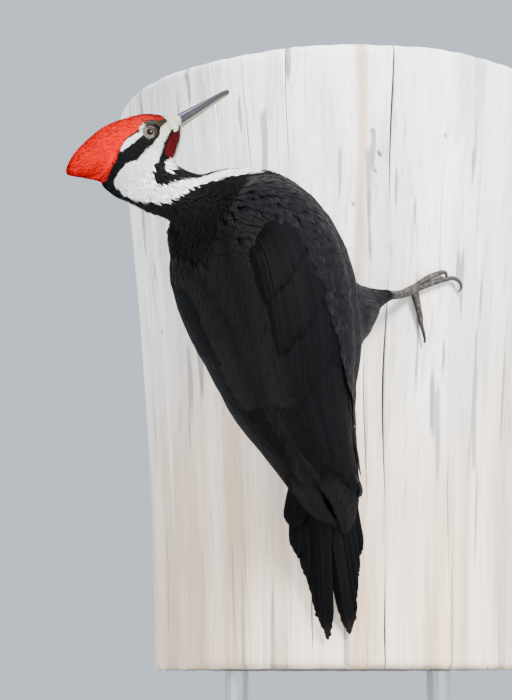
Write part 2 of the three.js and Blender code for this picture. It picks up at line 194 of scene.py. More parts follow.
def make_mesh(name, points, faces, maps=None, tints=None, weld=0.0):
    """A smooth-shaded mesh of quads, from points in millimetres, with maps and tints by point.  Points
    closer than weld are made one, which closes the poles and seams."""
    points = points.reshape(-1, 3) * 0.001
    mesh = bpy.data.meshes.new(name)
    mesh.vertices.add(len(points))
    mesh.vertices.foreach_set("co", points.astype(np.float32).ravel())
    mesh.loops.add(faces.size)
    mesh.loops.foreach_set("vertex_index", faces.astype(np.int32).ravel())
    mesh.polygons.add(len(faces))
    mesh.polygons.foreach_set("loop_start", np.arange(len(faces), dtype=np.int32) * 4)
    mesh.update(calc_edges=True)
    mesh.polygons.foreach_set("use_smooth", np.ones(len(faces), bool))
    for map_name, places in (maps or {}).items():
        layer = mesh.uv_layers.new(name=map_name)
        layer.data.foreach_set("uv", places.reshape(-1, 2)[faces.ravel()].astype(np.float32).ravel())
    for tint_name, colours in (tints or {}).items():
        layer = mesh.color_attributes.new(tint_name, "FLOAT_COLOR", "POINT")
        full = np.ones((len(points), 4), np.float32)
        full[:, :3] = colours.reshape(len(points), -1)
        layer.data.foreach_set("color", full.ravel())
    if weld:
        work = bmesh.new()
        work.from_mesh(mesh)
        bmesh.ops.remove_doubles(work, verts=work.verts, dist=weld * 0.001)
        bmesh.ops.recalc_face_normals(work, faces=work.faces)
        work.to_mesh(mesh)
        work.free()
    return mesh


floor_finish = Finish("studio_floor", Roughness=0.9)
floor_grain = floor_finish.noise(floor_finish.place(), 6.0)
floor_finish.drive(Base_Color=floor_finish.blend((0.66, 0.67, 0.68), (0.71, 0.72, 0.73), floor_grain))
FLOOR_HALF = 9000.0
floor_points = np.stack(np.meshgrid([-FLOOR_HALF, FLOOR_HALF], [-FLOOR_HALF, FLOOR_HALF], [0.0]), -1)
floor = bpy.data.objects.new("floor", make_mesh("floor", floor_points, np.array([[0, 2, 3, 1]])))
floor.data.materials.append(floor_finish.material)
bpy.context.scene.collection.objects.link(floor)


# ---- Display stand ------------------------------------------------------------------------
# A turned round base of dark oiled hardwood, with two bright steel rods let into it that
# carry the pole.  Both are the frame's own pieces, given their finishes here.

def refinish(node, finish):
    """Gives a node of the frame its finish."""
    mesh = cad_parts[node].data
    mesh.materials.clear()
    mesh.materials.append(finish.material)


oiled_wood = Finish("oiled_hardwood", Roughness=0.42, Coat_Weight=0.15)
grain = oiled_wood.noise(oiled_wood.place((2, 22, 22)), 7.0, 6, 0.6)
pores = oiled_wood.noise(oiled_wood.place((14, 260, 260)), 5.0, 3)
oiled_wood.drive(Base_Color=oiled_wood.blend(
    oiled_wood.blend((0.045, 0.024, 0.013), (0.115, 0.062, 0.034), grain.between(0.3, 0.7)),
    (0.03, 0.016, 0.009), pores.between(0.58, 0.7)))
oiled_wood.relief(pores * 0.6 + grain * 0.4, 0.0004)
refinish("stand_base", oiled_wood)

rod_steel = Finish("rod_steel", Metallic=1.0)
turning = rod_steel.noise(rod_steel.place((20, 20, 1600)), detail=3)
rod_steel.drive(Base_Color=rod_steel.blend((0.42, 0.43, 0.44), (0.60, 0.61, 0.62), turning),
                Roughness=turning * 0.2 + 0.22)
for rod in ("stand_rod_left", "stand_rod_right"):
    refinish(rod, rod_steel)


# ---- Perch --------------------------------------------------------------------------------
# A short cut length of an old softwood pole: bleached and ridged along its grain, split by
# long drying checks, browner lower down, with the marks of old nails.  It swells to its sawn top.

POLE_FOOT = 75.0
POLE_TOP = 514.5
POLE_RADIUS = 142.0
FLARE, FLARE_HEIGHT, FLARE_POWER = 31.0, 437.0, 1.8
POLE_COLUMNS = 620
POLE_ROWS = 110
HOLE_DEPTH = 2.4


def pole_radius(z):
    """Radius at a height: the foot's radius plus a flare that grows as a power of the height."""
    return POLE_RADIUS + FLARE * (np.clip(z - POLE_FOOT, 0, None) / FLARE_HEIGHT) ** FLARE_POWER


def wander(angle, z):
    """Degrees by which a line of the grain strays from the vertical, as slow waves of height."""
    return 0.5 * np.sin(z / 61 + angle / 23) + 0.35 * np.sin(z / 27 + angle / 11)


# Drying checks: azimuth in degrees, lowest and highest point, width and depth at the middle.
CHECKS = np.array([
    (12.0, 60, 560, 0.75, 3.6), (-13.5, 330, 560, 0.45, 1.8), (-16.5, 250, 545, 0.4, 1.4),
    (6.5, 60, 330, 0.45, 1.6), (-8.5, 60, 205, 0.6, 2.0), (-42, 300, 560, 0.6, 1.8),
    (-60, 400, 560, 0.7, 2.4), (-66, 60, 430, 0.7, 2.2), (-70.5, 180, 560, 0.6, 2.0),
    (-78, 60, 560, 1.1, 3.5), (33, 60, 250, 0.5, 1.5), (39, 330, 560, 0.5, 1.6), (-29, 60, 180, 0.5, 1.6),
    (27, 260, 560, 0.4, 1.2), (-24.5, 420, 560, 0.5, 1.6), (-33, 380, 560, 0.45, 1.3),
    (62, 60, 560, 0.9, 3.0), (79, 140, 520, 0.6, 2.0), (98, 60, 560, 1.3, 4.5), (118, 60, 300, 0.7, 2.2),
    (131, 240, 560, 0.8, 2.6), (152, 60, 560, 1.1, 3.5), (171, 90, 420, 0.7, 2.2),
    (186, 60, 560, 0.9, 3.0), (203, 200, 560, 0.7, 2.2), (222, 60, 380, 1.0, 3.2),
    (241, 60, 560, 0.8, 2.6), (258, 150, 560, 1.2, 4.0)])
# Nail holes and staples' holes: azimuth, height, radius.
HOLES = np.array([(22.5, 488, 2.6), (27.5, 466, 2.2), (7.5, 463, 2.6), (-8, 465, 1.8), (-22, 456, 2.0),
                  (8, 436, 2.4), (3, 411, 2.2), (36, 431, 1.7), (-36, 470, 1.6), (14, 235, 1.6),
                  (41, 180, 1.8), (-62, 330, 1.8), (88, 400, 2.2), (140, 350, 2.0), (196, 440, 2.4),
                  (232, 300, 1.8), (31, 489, 1.3), (-9.5, 478, 1.4), (9.5, 448, 1.5), (8.5, 441, 1.6),
                  (-3, 480, 1.2), (36.5, 300, 1.2)])


def closeness(value, centre, width):
    """1 on a line and 0 at its width to either side, as a smooth bell."""
    return np.exp(-((value - centre) / width) ** 2)


def angle_gap(a, b):
    """Degrees from b to a, the short way round."""
    return (a - b + 180) % 360 - 180


def pole_wall():
    """Grid over height and azimuth: the flared radius, less ridged grain, checks and nail holes.
    Columns crowd together at the checks, and stray from the vertical with the grain."""
    around = np.linspace(0, 360, 7201)
    crowd = 0.30 + sum(4.5 * closeness(angle_gap(around, check[0]), 0, 0.45) for check in CHECKS)
    share = np.concatenate([[0], np.cumsum((crowd[1:] + crowd[:-1]) / 2)])
    line = np.interp(np.linspace(0, share[-1], POLE_COLUMNS, endpoint=False), share, around)
    height = np.linspace(0, 1, POLE_ROWS)[:, None]
    azimuth = line[None] + wander(line[None], 75 + 440 * height)
    turn = np.radians(azimuth)
    slant = 13.5 * np.cos(turn) + 4 * np.sin(turn)
    ragged = 1.3 * np.sin(5 * turn + 1) * np.sin(3 * turn) + 0.5 * np.sin(31 * turn) * np.sin(17 * turn + 2)
    rim = POLE_TOP + slant - 0.8 - np.abs(ragged)
    z = POLE_FOOT + 0.3 + (rim - POLE_FOOT - 0.3) * height
    ridges = (0.5 * np.sin(azimuth * 1.9 + 2 * np.sin(z / 90))
              + 0.35 * np.sin(azimuth * 4.3 + np.sin(z / 50))
              + 0.25 * np.sin(azimuth * 9.7 + 1.3 * np.sin(z / 37)))
    hollow = np.zeros_like(azimuth)
    for centre, low, high, width, depth in CHECKS:
        fade = np.clip((z - low) / 40, 0, 1) * np.clip((high - z) / 40, 0, 1)
        across = angle_gap(line[None], centre) * np.radians(1) * pole_radius(z)
        gape = 0.6 + 0.4 * np.sin(z / 33 + centre)
        hollow += depth * fade * gape * closeness(across, 0, width * (0.35 + 0.4 * fade) * gape)
    for centre, middle, radius in HOLES:
        across = angle_gap(azimuth, centre) * np.radians(1) * pole_radius(z)
        hollow += HOLE_DEPTH * closeness(np.hypot(across, z - middle), 0, radius * 0.8)
    worn_top = 2.2 * (1 - np.clip((rim - z) / 5, 0, 1)) ** 2
    worn_foot = 2.0 * (1 - np.clip((z - POLE_FOOT) / 4, 0, 1)) ** 2
    radius = pole_radius(z) - 0.6 + 0.30 * ridges - hollow - (worn_top + worn_foot)
    return np.stack([radius * np.sin(turn), -radius * np.cos(turn), z], -1), hollow


def pole_end(rim, bulge):
    """Grid from a rim to its middle point: rings of the rim drawn in, with shallow radial checks."""
    share = np.array([1, 0.985, 0.96, 0.9, 0.8, 0.68, 0.55, 0.42, 0.3, 0.18, 0.08, 0.0])[:, None, None]
    middle = rim.mean(0)
    disc = middle + (rim[None] - middle) * share
    disc[..., 2] += bulge * (1 - share[..., 0] ** 6)
    turn = np.arctan2(disc[..., 0], -disc[..., 1])
    disc[..., 2] -= 0.5 * np.sin(turn * 23) * np.sin(share[..., 0] * 40) * (share[..., 0] > 0.05)
    return disc


def show(name, mesh, finish, replaces=()):
    """Makes a mesh a piece of the model, standing for the nodes that it replaces."""
    piece = bpy.data.objects.new(name, mesh)
    bpy.context.scene.collection.objects.link(piece)
    mesh.materials.clear()
    mesh.materials.append(finish.material)
    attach(piece, "root")
    if replaces:
        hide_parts(*replaces)


wall, hollow = pole_wall()
top_end = pole_end(wall[-1], 0.6)
foot_end = pole_end(wall[0], 0.0)[::-1]
pole_points = np.concatenate([foot_end[:-1], wall, top_end[1:]])
# In red, how deep a point lies in a check or a hole; in green, whether it is on a sawn end.
wall_start = len(foot_end) - 1
sunk = np.zeros(pole_points.shape[:2] + (3,))
sunk[wall_start:wall_start + POLE_ROWS, :, 0] = np.clip(hollow / HOLE_DEPTH, 0, 1)
sunk[:wall_start, :, 1] = 1
sunk[wall_start + POLE_ROWS:, :, 1] = 1

old_wood = Finish("weathered_softwood", Roughness=0.86)
streak = old_wood.noise(old_wood.place((38, 38, 1.6)), detail=6, roughness=0.62)
broad = old_wood.noise(old_wood.place((9, 9, 1.1)), detail=3)
hair = old_wood.noise(old_wood.place((230, 230, 5)), detail=5, roughness=0.7)
blotch = old_wood.noise(old_wood.place((14, 14, 5)))
sideways, height_up = old_wood.place().part(0), old_wood.place().part(2)
# Bleached above and brown lower down.
bleached = old_wood.blend((0.56, 0.53, 0.51), (0.86, 0.84, 0.81), streak.between(0.34, 0.58))
tanned = old_wood.blend((0.54, 0.36, 0.215), (0.78, 0.64, 0.49), streak.between(0.34, 0.62))
browner = (height_up * -3.6 + 0.38 + blotch * 1.5 + streak * 1.3).between(0.35, 1.25)
bare = old_wood.blend(bleached, tanned, browner * 0.85)
# A rust streak that runs down from the old nails near the top.
STREAK_AT, STREAK_CORE, STREAK_EDGE = 0.0135, 0.0012, 0.008
off_streak = abs(sideways - STREAK_AT + (blotch - 0.5) * 0.02)
rusted = (1 - off_streak.between(STREAK_CORE, STREAK_EDGE)) * height_up.between(0.30, 0.40)
bare = old_wood.blend(bare, (0.52, 0.33, 0.17), rusted * (0.35 + streak * 0.75))
# Grey grain and short dark splits.
split = old_wood.noise(old_wood.place((95, 95, 0.9)), detail=2, roughness=0.4).between(0.64, 0.69)
grey = hair.between(0.5, 0.74) * 0.55 + broad.between(0.5, 0.7) * 0.45 + split * 0.8
greyed = old_wood.blend(bare, (0.25, 0.24, 0.235), grey)
# Painted shade darkens the checks and nail holes by their depth, and growth rings mark the sawn ends.
hollow_mark, end_mark = old_wood.attribute("sunk").part(0), old_wood.attribute("sunk").part(1)
dark = old_wood.blend(greyed, (0.075, 0.062, 0.052), hollow_mark.between(0.12, 0.75) * 0.92)
rings = old_wood.node("ShaderNodeTexWave", {"wave_type": "RINGS", "rings_direction": "Z"},
                      {"Vector": old_wood.place(), "Scale": 60.0, "Distortion": 2.5, "Detail": 3.0}, 1)
sawn = old_wood.blend((0.40, 0.37, 0.34), (0.60, 0.57, 0.53), rings)
old_wood.drive(Base_Color=old_wood.blend(dark, sawn, end_mark))
old_wood.relief(streak * 0.5 + hair * 0.5, 0.0009)

pole_mesh = make_mesh("perch", pole_points, quads(len(pole_points), POLE_COLUMNS, ring=True)[:, ::-1],
                      tints={"sunk": sunk}, weld=0.01)
show("perch", pole_mesh, old_wood, ("perch_pole",))


# ---- Body shape ---------------------------------------------------------------------------
# The bird's outline with its plumage on: one loft for the body and neck, one for the head, and
# two tapering thighs, blended into one smooth shape that the skin and every feather follow.

# Stations from over the tail (0) to the nape (13): centre x, y, z; azimuth that the back faces;
# half width; height of the back over the centre; depth of the belly under it.  Millimetres.
BODY = np.array([
    [3, -151, 152, -20, 17, 4, 5], [-2, -158, 170, -22, 22, 6, 7], [-10, -168, 194, -26, 25, 10, 13],
    [-17, -177, 216, -31, 28, 16, 22], [-26, -187, 239, -35, 35, 23, 32], [-37, -198, 270, -38, 48, 32, 45],
    [-45, -209, 307, -40, 59, 40, 54], [-57, -217, 346, -43, 64, 44, 54], [-75, -223, 378, -47, 58, 46, 46],
    [-93, -231, 394, -56, 43, 41, 27], [-110, -239, 401, -66, 22.5, 23, 15],
    [-126, -245, 409, -75, 19, 25, 14], [-137, -249, 419, -84, 17, 31, 14],
    [-146, -251, 428, -90, 13, 33, 10]])
# Head rings: forward of the eyes, height of the centre, half width, height above, depth below.
HEAD = np.array([
    [-68, 3, 1, 1.2, 1.5], [-62, 3, 4, 6, 5], [-52, 1, 8.5, 12.8, 11], [-40, -3, 13.5, 19.9, 17],
    [-26, -7, 17.5, 25.8, 20], [-13, -8, 18.5, 25, 20], [0, -7, 17, 20.7, 19.5], [10, -6.5, 13.5, 14.5, 15],
    [17, -5.5, 9, 7.6, 9], [22, -4.5, 6.5, 5.4, 5.2]])
HEAD_CENTRE = np.array([-137.0, -248, 444])
THIGHS = {"right": np.array([[-20, -196, 322, 30], [0, -195, 326, 27], [12, -191, 331, 17],
                             [21, -186, 336, 8.5], [30, -181, 339.5, 4.6]]),
          "left": np.array([[-58, -200, 300, 28], [-70, -193, 298, 25], [-79, -184, 299, 17],
                            [-84, -173, 301, 9.5], [-87, -162, 304, 4.6]])}


def unit(vectors):
    """Vectors divided by their own lengths."""
    return vectors / np.maximum(np.linalg.norm(vectors, axis=-1, keepdims=True), 1e-9)


# The head is raised by 33 degrees and turned by 12.
pitch, turn = np.radians(33), np.radians(12)
forward = np.array([np.cos(pitch) * np.cos(turn), np.sin(turn), np.sin(pitch) * np.cos(turn)])
upward = np.array([-np.sin(pitch), 0, np.cos(pitch)])
upward = unit(upward - (upward @ forward) * forward)
sideward = np.cross(forward, upward)


def spline(rows, t):
    """Catmull-Rom curve through rows at t, where whole numbers are the rows themselves."""
    t = np.asarray(t, float)
    wide = np.vstack([2 * rows[0] - rows[1], rows, 2 * rows[-1] - rows[-2]])
    i = np.clip(np.floor(t).astype(int), 0, len(rows) - 2)
    u = (t - i)[..., None]
    p, q, r, s = (wide[i + n] for n in range(4))
    bend, twist = 2 * p - 5 * q + 4 * r - s, 3 * q - p - 3 * r + s
    return 0.5 * (2 * q + (r - p) * u + bend * u ** 2 + twist * u ** 3)


def cross_section(k):
    """Centre, along, up and right directions, and half width, back and belly at stations k."""
    k = np.asarray(k, float)
    rows = spline(BODY, k)
    after, before = spline(BODY, np.minimum(k + 0.02, 13)), spline(BODY, np.maximum(k - 0.02, 0))
    along = unit(after[..., :3] - before[..., :3])
    azimuth = np.radians(rows[..., 3])
    up = np.stack([np.sin(azimuth), -np.cos(azimuth), 0 * azimuth], -1)
    up = unit(up - (up * along).sum(-1, keepdims=True) * along)
    return rows[..., :3], along, up, np.cross(along, up), rows[..., 4], rows[..., 5], rows[..., 6]


def on_body(k, angle, lift=0.0):
    """Points of the body's outline: station, degrees from the back to the bird's right, height over it."""
    centre, _, up, right, half, back, belly = cross_section(k)
    sine, cosine = np.sin(np.radians(angle)), np.cos(np.radians(angle))
    height = np.where(cosine > 0, back, belly)
    outward = unit(right * (sine * height)[..., None] + up * (cosine * half)[..., None])
    return centre + right * (half * sine)[..., None] + up * (height * cosine)[..., None] \
        + outward * np.asarray(lift)[..., None]


def in_head(f, u, w=0.0):
    """Points from distances forward of the eyes, up, and to the bird's right."""
    f, u, w = np.broadcast_arrays(f, u, w)
    return HEAD_CENTRE + f[..., None] * forward + u[..., None] * upward + w[..., None] * sideward


def head_places(points):
    """Distances forward of the eyes, up, and to the right, of points."""
    gap = points - HEAD_CENTRE
    return gap @ forward, gap @ upward, gap @ sideward


# The folded wings lie on the body as low swells between two angles from the middle of the back.
WING_AT = [1, 1.4, 2, 3, 4, 5, 6, 7, 8, 8.8, 9.3]
WING_INNER = [5, 3, 2, 2, 3, 5, 8, 12, 20, 34, 50]
WING_OUTER = [20, 44, 70, 86, 92, 94, 94, 97, 98, 92, 78]
WING_HEIGHT = [3.6, 4.2, 4.6, 5.2, 6.2, 7.2, 8.2, 9.2, 10, 8.2, 5]


def left_tuck(k):
    """Share by which the left wing's bend stands lower than the right's: a bell round station 7.9."""
    return 0.5 * np.exp(-((k - 7.9) / 0.9) ** 2)


def wing_share(k, angle):
    """Share of the way across the folded wing, from its inner to its outer edge."""
    inner, outer = np.interp(k, WING_AT, WING_INNER), np.interp(k, WING_AT, WING_OUTER)
    return (np.abs(angle) - inner) / (outer - inner)


def wing_swell(k, angle):
    """Height of the folded wings over the body's outline: a half sine's root across each wing."""
    height, share = np.interp(k, WING_AT, WING_HEIGHT), np.clip(wing_share(k, angle), 0, 1)
    shoulder = np.clip((9.8 - k) / 1.1, 0, 1)
    ends = shoulder ** 2 * (3 - 2 * shoulder) * np.clip((k - 0.8) / 0.3, 0, 1)
    return height * np.sqrt(np.clip(np.sin(np.pi * share), 0, 1)) * ends * (1 - left_tuck(k) * (angle < 0))


STATIONS = np.linspace(2.1, 13, 300)
PATH = cross_section(STATIONS)


def off_oval(x, y, half, back, belly):
    """Distance from an oval's centre less that of its edge the same way, and the angle there."""
    reach = np.hypot(x, y) + 1e-6
    tall = np.where(y > 0, back, belly)
    edge = reach / (np.hypot(x / half, y / tall) + 1e-6)
    return reach - edge, np.degrees(np.arctan2(x / half, y / tall))


def rump(k):
    """Share of the body's height that is left where it rounds off towards the tail's root."""
    return 0.25 + 0.75 * np.sqrt(np.clip(1 - (np.clip(3.4 - k, 0, 1.4) / 1.4) ** 2, 0, 1))


def body_places(points):
    """Station, angle and height over the wings and body, of points, from the nearest cross-section."""
    near = np.empty(len(points), int)
    lengths = (PATH[0] ** 2).sum(-1)
    for part in np.array_split(np.arange(len(points)), len(points) // 40000 + 1):
        near[part] = (lengths - 2 * points[part] @ PATH[0].T).argmin(1)
    pace = np.linalg.norm(np.gradient(PATH[0], STATIONS, axis=0), axis=1)
    k = STATIONS[near]
    for _ in range(3):
        centre, along = (np.stack([np.interp(k, STATIONS, row) for row in part.T], -1) for part in PATH[:2])
        slip = ((points - centre) * along).sum(-1)
        k = np.clip(k + 0.7 * slip / np.interp(k, STATIONS, pace), STATIONS[0], STATIONS[-1])
    centre, along, up, right, half, back, belly = (
        np.stack([np.interp(k, STATIONS, row) for row in part.T], -1) if part.ndim > 1
        else np.interp(k, STATIONS, part) for part in PATH)
    gap = points - centre
    x, y = (gap * unit(right)).sum(-1), (gap * unit(up)).sum(-1)
    off, angle = off_oval(x, y, half, back * rump(k), belly * rump(k))
    beyond = np.where((k < 2.15) | (k > 12.95), np.abs((gap * unit(along)).sum(-1)) - 1.5, -60)
    return k, angle, np.maximum(off - wing_swell(k, angle), beyond)


def head_off(points):
    """Height of points over the head's outline."""
    f, u, w = head_places(points)
    rows = spline(HEAD, np.linspace(0, 9, 200))
    centre, half, above, below = (np.interp(f, rows[:, 0], rows[:, i]) for i in range(1, 5))
    off = off_oval(w, u - centre, half, above, below)[0]
    return np.maximum(off, np.maximum(f - 21, -68 - f))


def thigh_off(points, rows):
    """Height of points over a thigh, and the share of the way down it."""
    fine = spline(rows, np.linspace(0, 4, 60))
    near = ((points[:, None] - fine[None, :, :3]) ** 2).sum(-1).argmin(1)
    return np.linalg.norm(points - fine[near, :3], axis=1) - fine[near, 3], near / 59


# The blended height over the outline is kept on a grid of cells and read between its corners.
CELL = 2.0
GRID_LOW = np.array([-206.0, -292, 186])
GRID_SIZE = np.array([126, 86, 146])


def smooth_least(heights, soft=2.2):
    """The least of some heights, rounded off over about soft millimetres where two are alike."""
    return -soft * np.log(sum(np.exp(-np.clip(height, -40, 60) / soft) for height in heights))


def blended_off(points):
    """Smooth least of the heights over the head, body and thighs, so that they flow together."""
    heights = [body_places(points)[2], head_off(points)]
    for rows in THIGHS.values():
        close = np.linalg.norm(points - rows[2, :3], axis=1) < 75
        height = np.full(len(points), 60.0)
        height[close] = thigh_off(points[close], rows)[0]
        heights.append(height)
    return smooth_least(heights)


# Sections cross one another at the crease where the neck turns over the left shoulder.  There the
# height is the least over all of them, and a round shoulder fills the crease.
CREASE, CREASE_REACH = np.array([-121.0, -217, 376]), 34
SHOULDER, SHOULDER_RADIUS = np.array([-111.5, -215, 376.5]), 15.5


def crossed_off(points):
    """Smooth least of the heights over the head, the shoulder and all the sections nearby, each
    section raised by a quarter of the square of its distance along the body."""
    least = np.full(len(points), 60.0)
    for k in np.arange(5.5, 12.4, 0.04):
        centre, along, up, right, half, back, belly = cross_section(k)
        gap = points - centre
        off, angle = off_oval(gap @ right, gap @ up, half, back, belly)
        least = np.minimum(least, off - wing_swell(k, angle) + (gap @ along) ** 2 / 4)
    shoulder = np.linalg.norm(points - SHOULDER, axis=-1) - SHOULDER_RADIUS
    return smooth_least([least, head_off(points), shoulder])


def grid_corners(cell, size):
    """The corners of a grid of cells, from the lowest corner of the bird's box."""
    return np.stack(np.meshgrid(*[GRID_LOW[i] + cell * np.arange(size[i]) for i in range(3)],
                                indexing="ij"), -1)


def near_crease(places, power):
    """Near 1 at the crease, and 0 beyond its reach."""
    return np.exp(-(np.linalg.norm(places - CREASE, axis=-1) / CREASE_REACH) ** power)


corners = grid_corners(CELL, GRID_SIZE)
heights_grid = blended_off(corners.reshape(-1, 3)).reshape(GRID_SIZE)
creased = near_crease(corners, 6)
close = creased > 0.002
heights_grid[close] += (crossed_off(corners[close]) - heights_grid[close]) * creased[close]


def evened(grid, rounds):
    """A grid averaged with its neighbours along each of the three directions, 1 to 2 to 1."""
    for _ in range(rounds):
        for way in range(3):
            padded = np.pad(grid, [(int(i == way),) * 2 for i in range(grid.ndim)], mode="edge")
            shifts = [np.take(padded, np.arange(n, n + grid.shape[way]), way) for n in range(3)]
            grid = (shifts[0] + shifts[1] * 2 + shifts[2]) / 4
    return grid


heights_grid = evened(heights_grid, 1) * (1 - creased) + evened(heights_grid, 5) * creased
slopes_grid = np.stack(np.gradient(heights_grid, CELL), -1)
FIELD = np.concatenate([heights_grid[..., None], slopes_grid], -1)


def read_grid(grid, cell, points):
    """Values of a grid at flat points, by their place between its corners."""
    place = np.clip((points - GRID_LOW) / cell, 0, np.array(grid.shape[:3]) - 1.001)
    low = place.astype(int)
    share = place - low
    total = 0
    for corner in np.ndindex(2, 2, 2):
        step = np.array(corner)
        weight = np.prod(np.where(step, share, 1 - share), axis=1)
        x, y, z = (low + step).T
        total = total + weight[:, None] * grid[x, y, z]
    return total


def field(points):
    """Height over the outline and the direction straight out from it, at points."""
    shape = points.shape[:-1]
    total = read_grid(FIELD, CELL, points.reshape(-1, 3))
    # Where the height climbs faster than the distance does, it is divided by its slope.
    steep = np.maximum(np.linalg.norm(total[:, 1:], axis=1), 1)
    return (total[:, 0] / steep).reshape(shape), unit(total[:, 1:]).reshape(*shape, 3)


def settle(points, height, rounds=2):
    """Moves points straight out or in until they stand at a height over the outline."""
    for _ in range(rounds):
        off, outward = field(points)
        points = points + outward * (height - off)[..., None]
    return points


# ---- Markings -----------------------------------------------------------------------------
# Black, with a scarlet crest from the bill to the nape, a white brow line, a cream and white
# stripe from the bill under the eye and down the neck, a dark red whisker patch and a white throat.
# Strokes lie in the head's side view: forward and up from mid-head, and half width, in millimetres.

BLACK = np.array([0.0036, 0.0037, 0.0043])
WHITE = np.array([0.89, 0.90, 0.91])
CREAM = np.array([0.80, 0.755, 0.60])
SCARLET = np.array([0.52, 0.0015, 0.001])
MAROON = np.array([0.075, 0.002, 0.003])
ORANGE_RED = np.array([0.40, 0.014, 0.012])
OLIVE = np.array([0.040, 0.035, 0.016])
DRAB = np.array([0.050, 0.040, 0.030])
BUFF = np.array([0.66, 0.59, 0.54])
CREST_EDGE = np.array([(-72, -1.6), (-57, -13), (-50, -15.6), (-45, -13.5), (-40, -11), (-35, -8),
                       (-30, -4.5), (-26.2, -1.6), (-21, 0), (-15.4, 0.4), (-11.8, 1), (-9.3, 2.2),
                       (-6.2, 3.8), (-2.7, 4), (0.7, 3.3), (3.4, 1.1), (5.8, -0.3), (9.3, 0.2),
                       (12.5, 1.5), (14.5, 9)])
EYE_PLACE = (-5.3, -4.2)
BELOW_CREST = [
    (CREAM, [(22, -3, 5), (16, -3.9, 4.5), (11, -5.8, 3.7), (4.5, -8.3, 3.3), (0.5, -11.6, 2.9),
             (-3.5, -14, 3.5), (-7.2, -16.4, 4.6), (-13.7, -19.8, 6.8)]),
    (WHITE, [(-13.5, -21, 6.5), (-20, -24, 9.5), (-32.5, -21.5, 9.2), (-28.7, -27.8, 11.2),
             (-25.9, -37.5, 9.7), (-23.5, -42.9, 7), (-15.8, -46.4, 6.1), (-7.1, -48.4, 4.9),
             (5.9, -50.2, 4.4), (15.2, -52.2, 3.7), (25, -55.2, 4), (34.3, -59.6, 4.2), (42.2, -63, 3.6),
             (48, -66.3, 2.4)]),
    (BLACK, [(-50, -14, 4.5), (-50.5, -24, 6), (-46, -31, 6), (-42, -37.2, 6), (-38, -43, 6),
             (-33, -48.3, 6), (-28, -53, 6), (-20, -58, 6)]),
    (BLACK, [(-4, -6.5, 4.2), (-11.4, -8.1, 5.6), (-18, -9.8, 5.3), (-23.4, -11.8, 5.2), (-31, -10.8, 3.9),
             (-37.4, -12.1, 3.9), (-45, -14, 4.5)]),
    (CREAM, [(22, -8.5, 2.6), (17.5, -13.2, 2), (12.4, -19.6, 2.2), (5, -25.5, 2.4), (-3, -30.1, 3.7)]),
    (WHITE, [(-2.6, -30.2, 3.9), (-5.4, -33.6, 4)]),
    (BLACK, [(9.6, -10.2, 1), (1.5, -15.8, 1.5), (-4, -20.2, 1.6), (-8, -24, 1.7), (-12.9, -28.9, 2.2),
             (-16.8, -33.7, 2.5), (-17.3, -38, 2.5), (-11, -40.6, 2.5), (-2.1, -40.7, 3.5),
             (5.2, -44.6, 2.4), (13, -49, 1)]),
    (MAROON, [(12.4, -13, 2.7), (5.4, -17.5, 3.6), (-0.3, -22.3, 3.5)]),
]
ABOVE_CREST = [
    (OLIVE, [(3.5, -2.4, 2.2), (8.4, -1.6, 2), (13, 0.6, 1.7)]),
    (DRAB, [(-5.6, 2.3, 1.1), (-1.6, 1.9, 1.9), (1.6, 0.4, 1.8)]),
    (BUFF, [(-7.4, 2.4, 1.4), (-9.3, 0.1, 1.9), (-11.2, -2, 1.4)]),
    (WHITE, [(-14.6, -2.6, 1.8), (-20.2, -3.3, 2.3), (-25.1, -4, 2.1), (-29, -5.4, 1.1)]),
]


def stroke_off(f, u, stroke):
    """Distance of side-view places to a chain of round-ended, tapering bars; negative inside."""
    best = np.full(f.shape, 1e3)
    for (f0, u0, r0), (f1, u1, r1) in zip(stroke[:-1], stroke[1:]):
        run = np.array([f1 - f0, u1 - u0])
        share = np.clip(((f - f0) * run[0] + (u - u0) * run[1]) / (run @ run), 0, 1)
        gap = np.hypot(f - f0 - share * run[0], u - u0 - share * run[1])
        best = np.minimum(best, gap - (r0 + share * (r1 - r0)))
    return best


def crest_edge(f):
    """Height of the crest's lower edge at distances forward of mid-head."""
    return np.interp(f, CREST_EDGE[:, 0], CREST_EDGE[:, 1])


def from_eye(f, u):
    """Distance from the middle of the eye in the side view."""
    return np.hypot(f - EYE_PLACE[0], u - EYE_PLACE[1])


def markings(points, blur=0.35):
    """Colour of the plumage at points, from the strokes and the crest's edge."""
    f, u, _ = head_places(points)
    colour = np.broadcast_to(BLACK, points.shape).copy()

    def lay(off, paint):
        """Paints where a distance is negative, softened by blur at the edge."""
        share = np.clip(0.5 - off / (2 * blur), 0, 1)[..., None]
        colour[...] = colour * (1 - share) + paint * share

    for paint, stroke in BELOW_CREST:
        lay(stroke_off(f, u, stroke), paint)
    shade = np.clip((f + 16) / 14, 0, 1)[..., None] * np.clip((14 - np.abs(u - 3)) / 8, 0, 1)[..., None]
    red = SCARLET * (1 - shade) + ORANGE_RED * shade
    lay(np.maximum(crest_edge(f) - u, head_off(points) - 7), red)
    for paint, stroke in ABOVE_CREST:
        lay(stroke_off(f, u, stroke), paint)
    lay(from_eye(f, u) - 5.2, DRAB * 0.6)
    return colour


# ---- Skin ---------------------------------------------------------------------------------
# One closed skin under all the plumage, from the nape to the ankles and the tail's root.  It lies
# inside the outline by the depth of the coat, which is least on the face, and has the coat's colours.

def coat_depth(points):
    """Depth of the plumage: 0.8 mm at the bill, 1.2 mm on the face, 2.8 mm in the crest and 2.6 mm
    on the body."""
    f, u, _ = head_places(points)
    on_head = np.clip((4 - head_off(points)) / 8, 0, 1)
    crest = np.clip((u - crest_edge(f)) / 5, 0, 1)
    face = 1.2 + 1.6 * crest - 0.4 * np.clip((f - 6) / 10, 0, 1)
    return face * on_head + 2.6 * (1 - on_head)


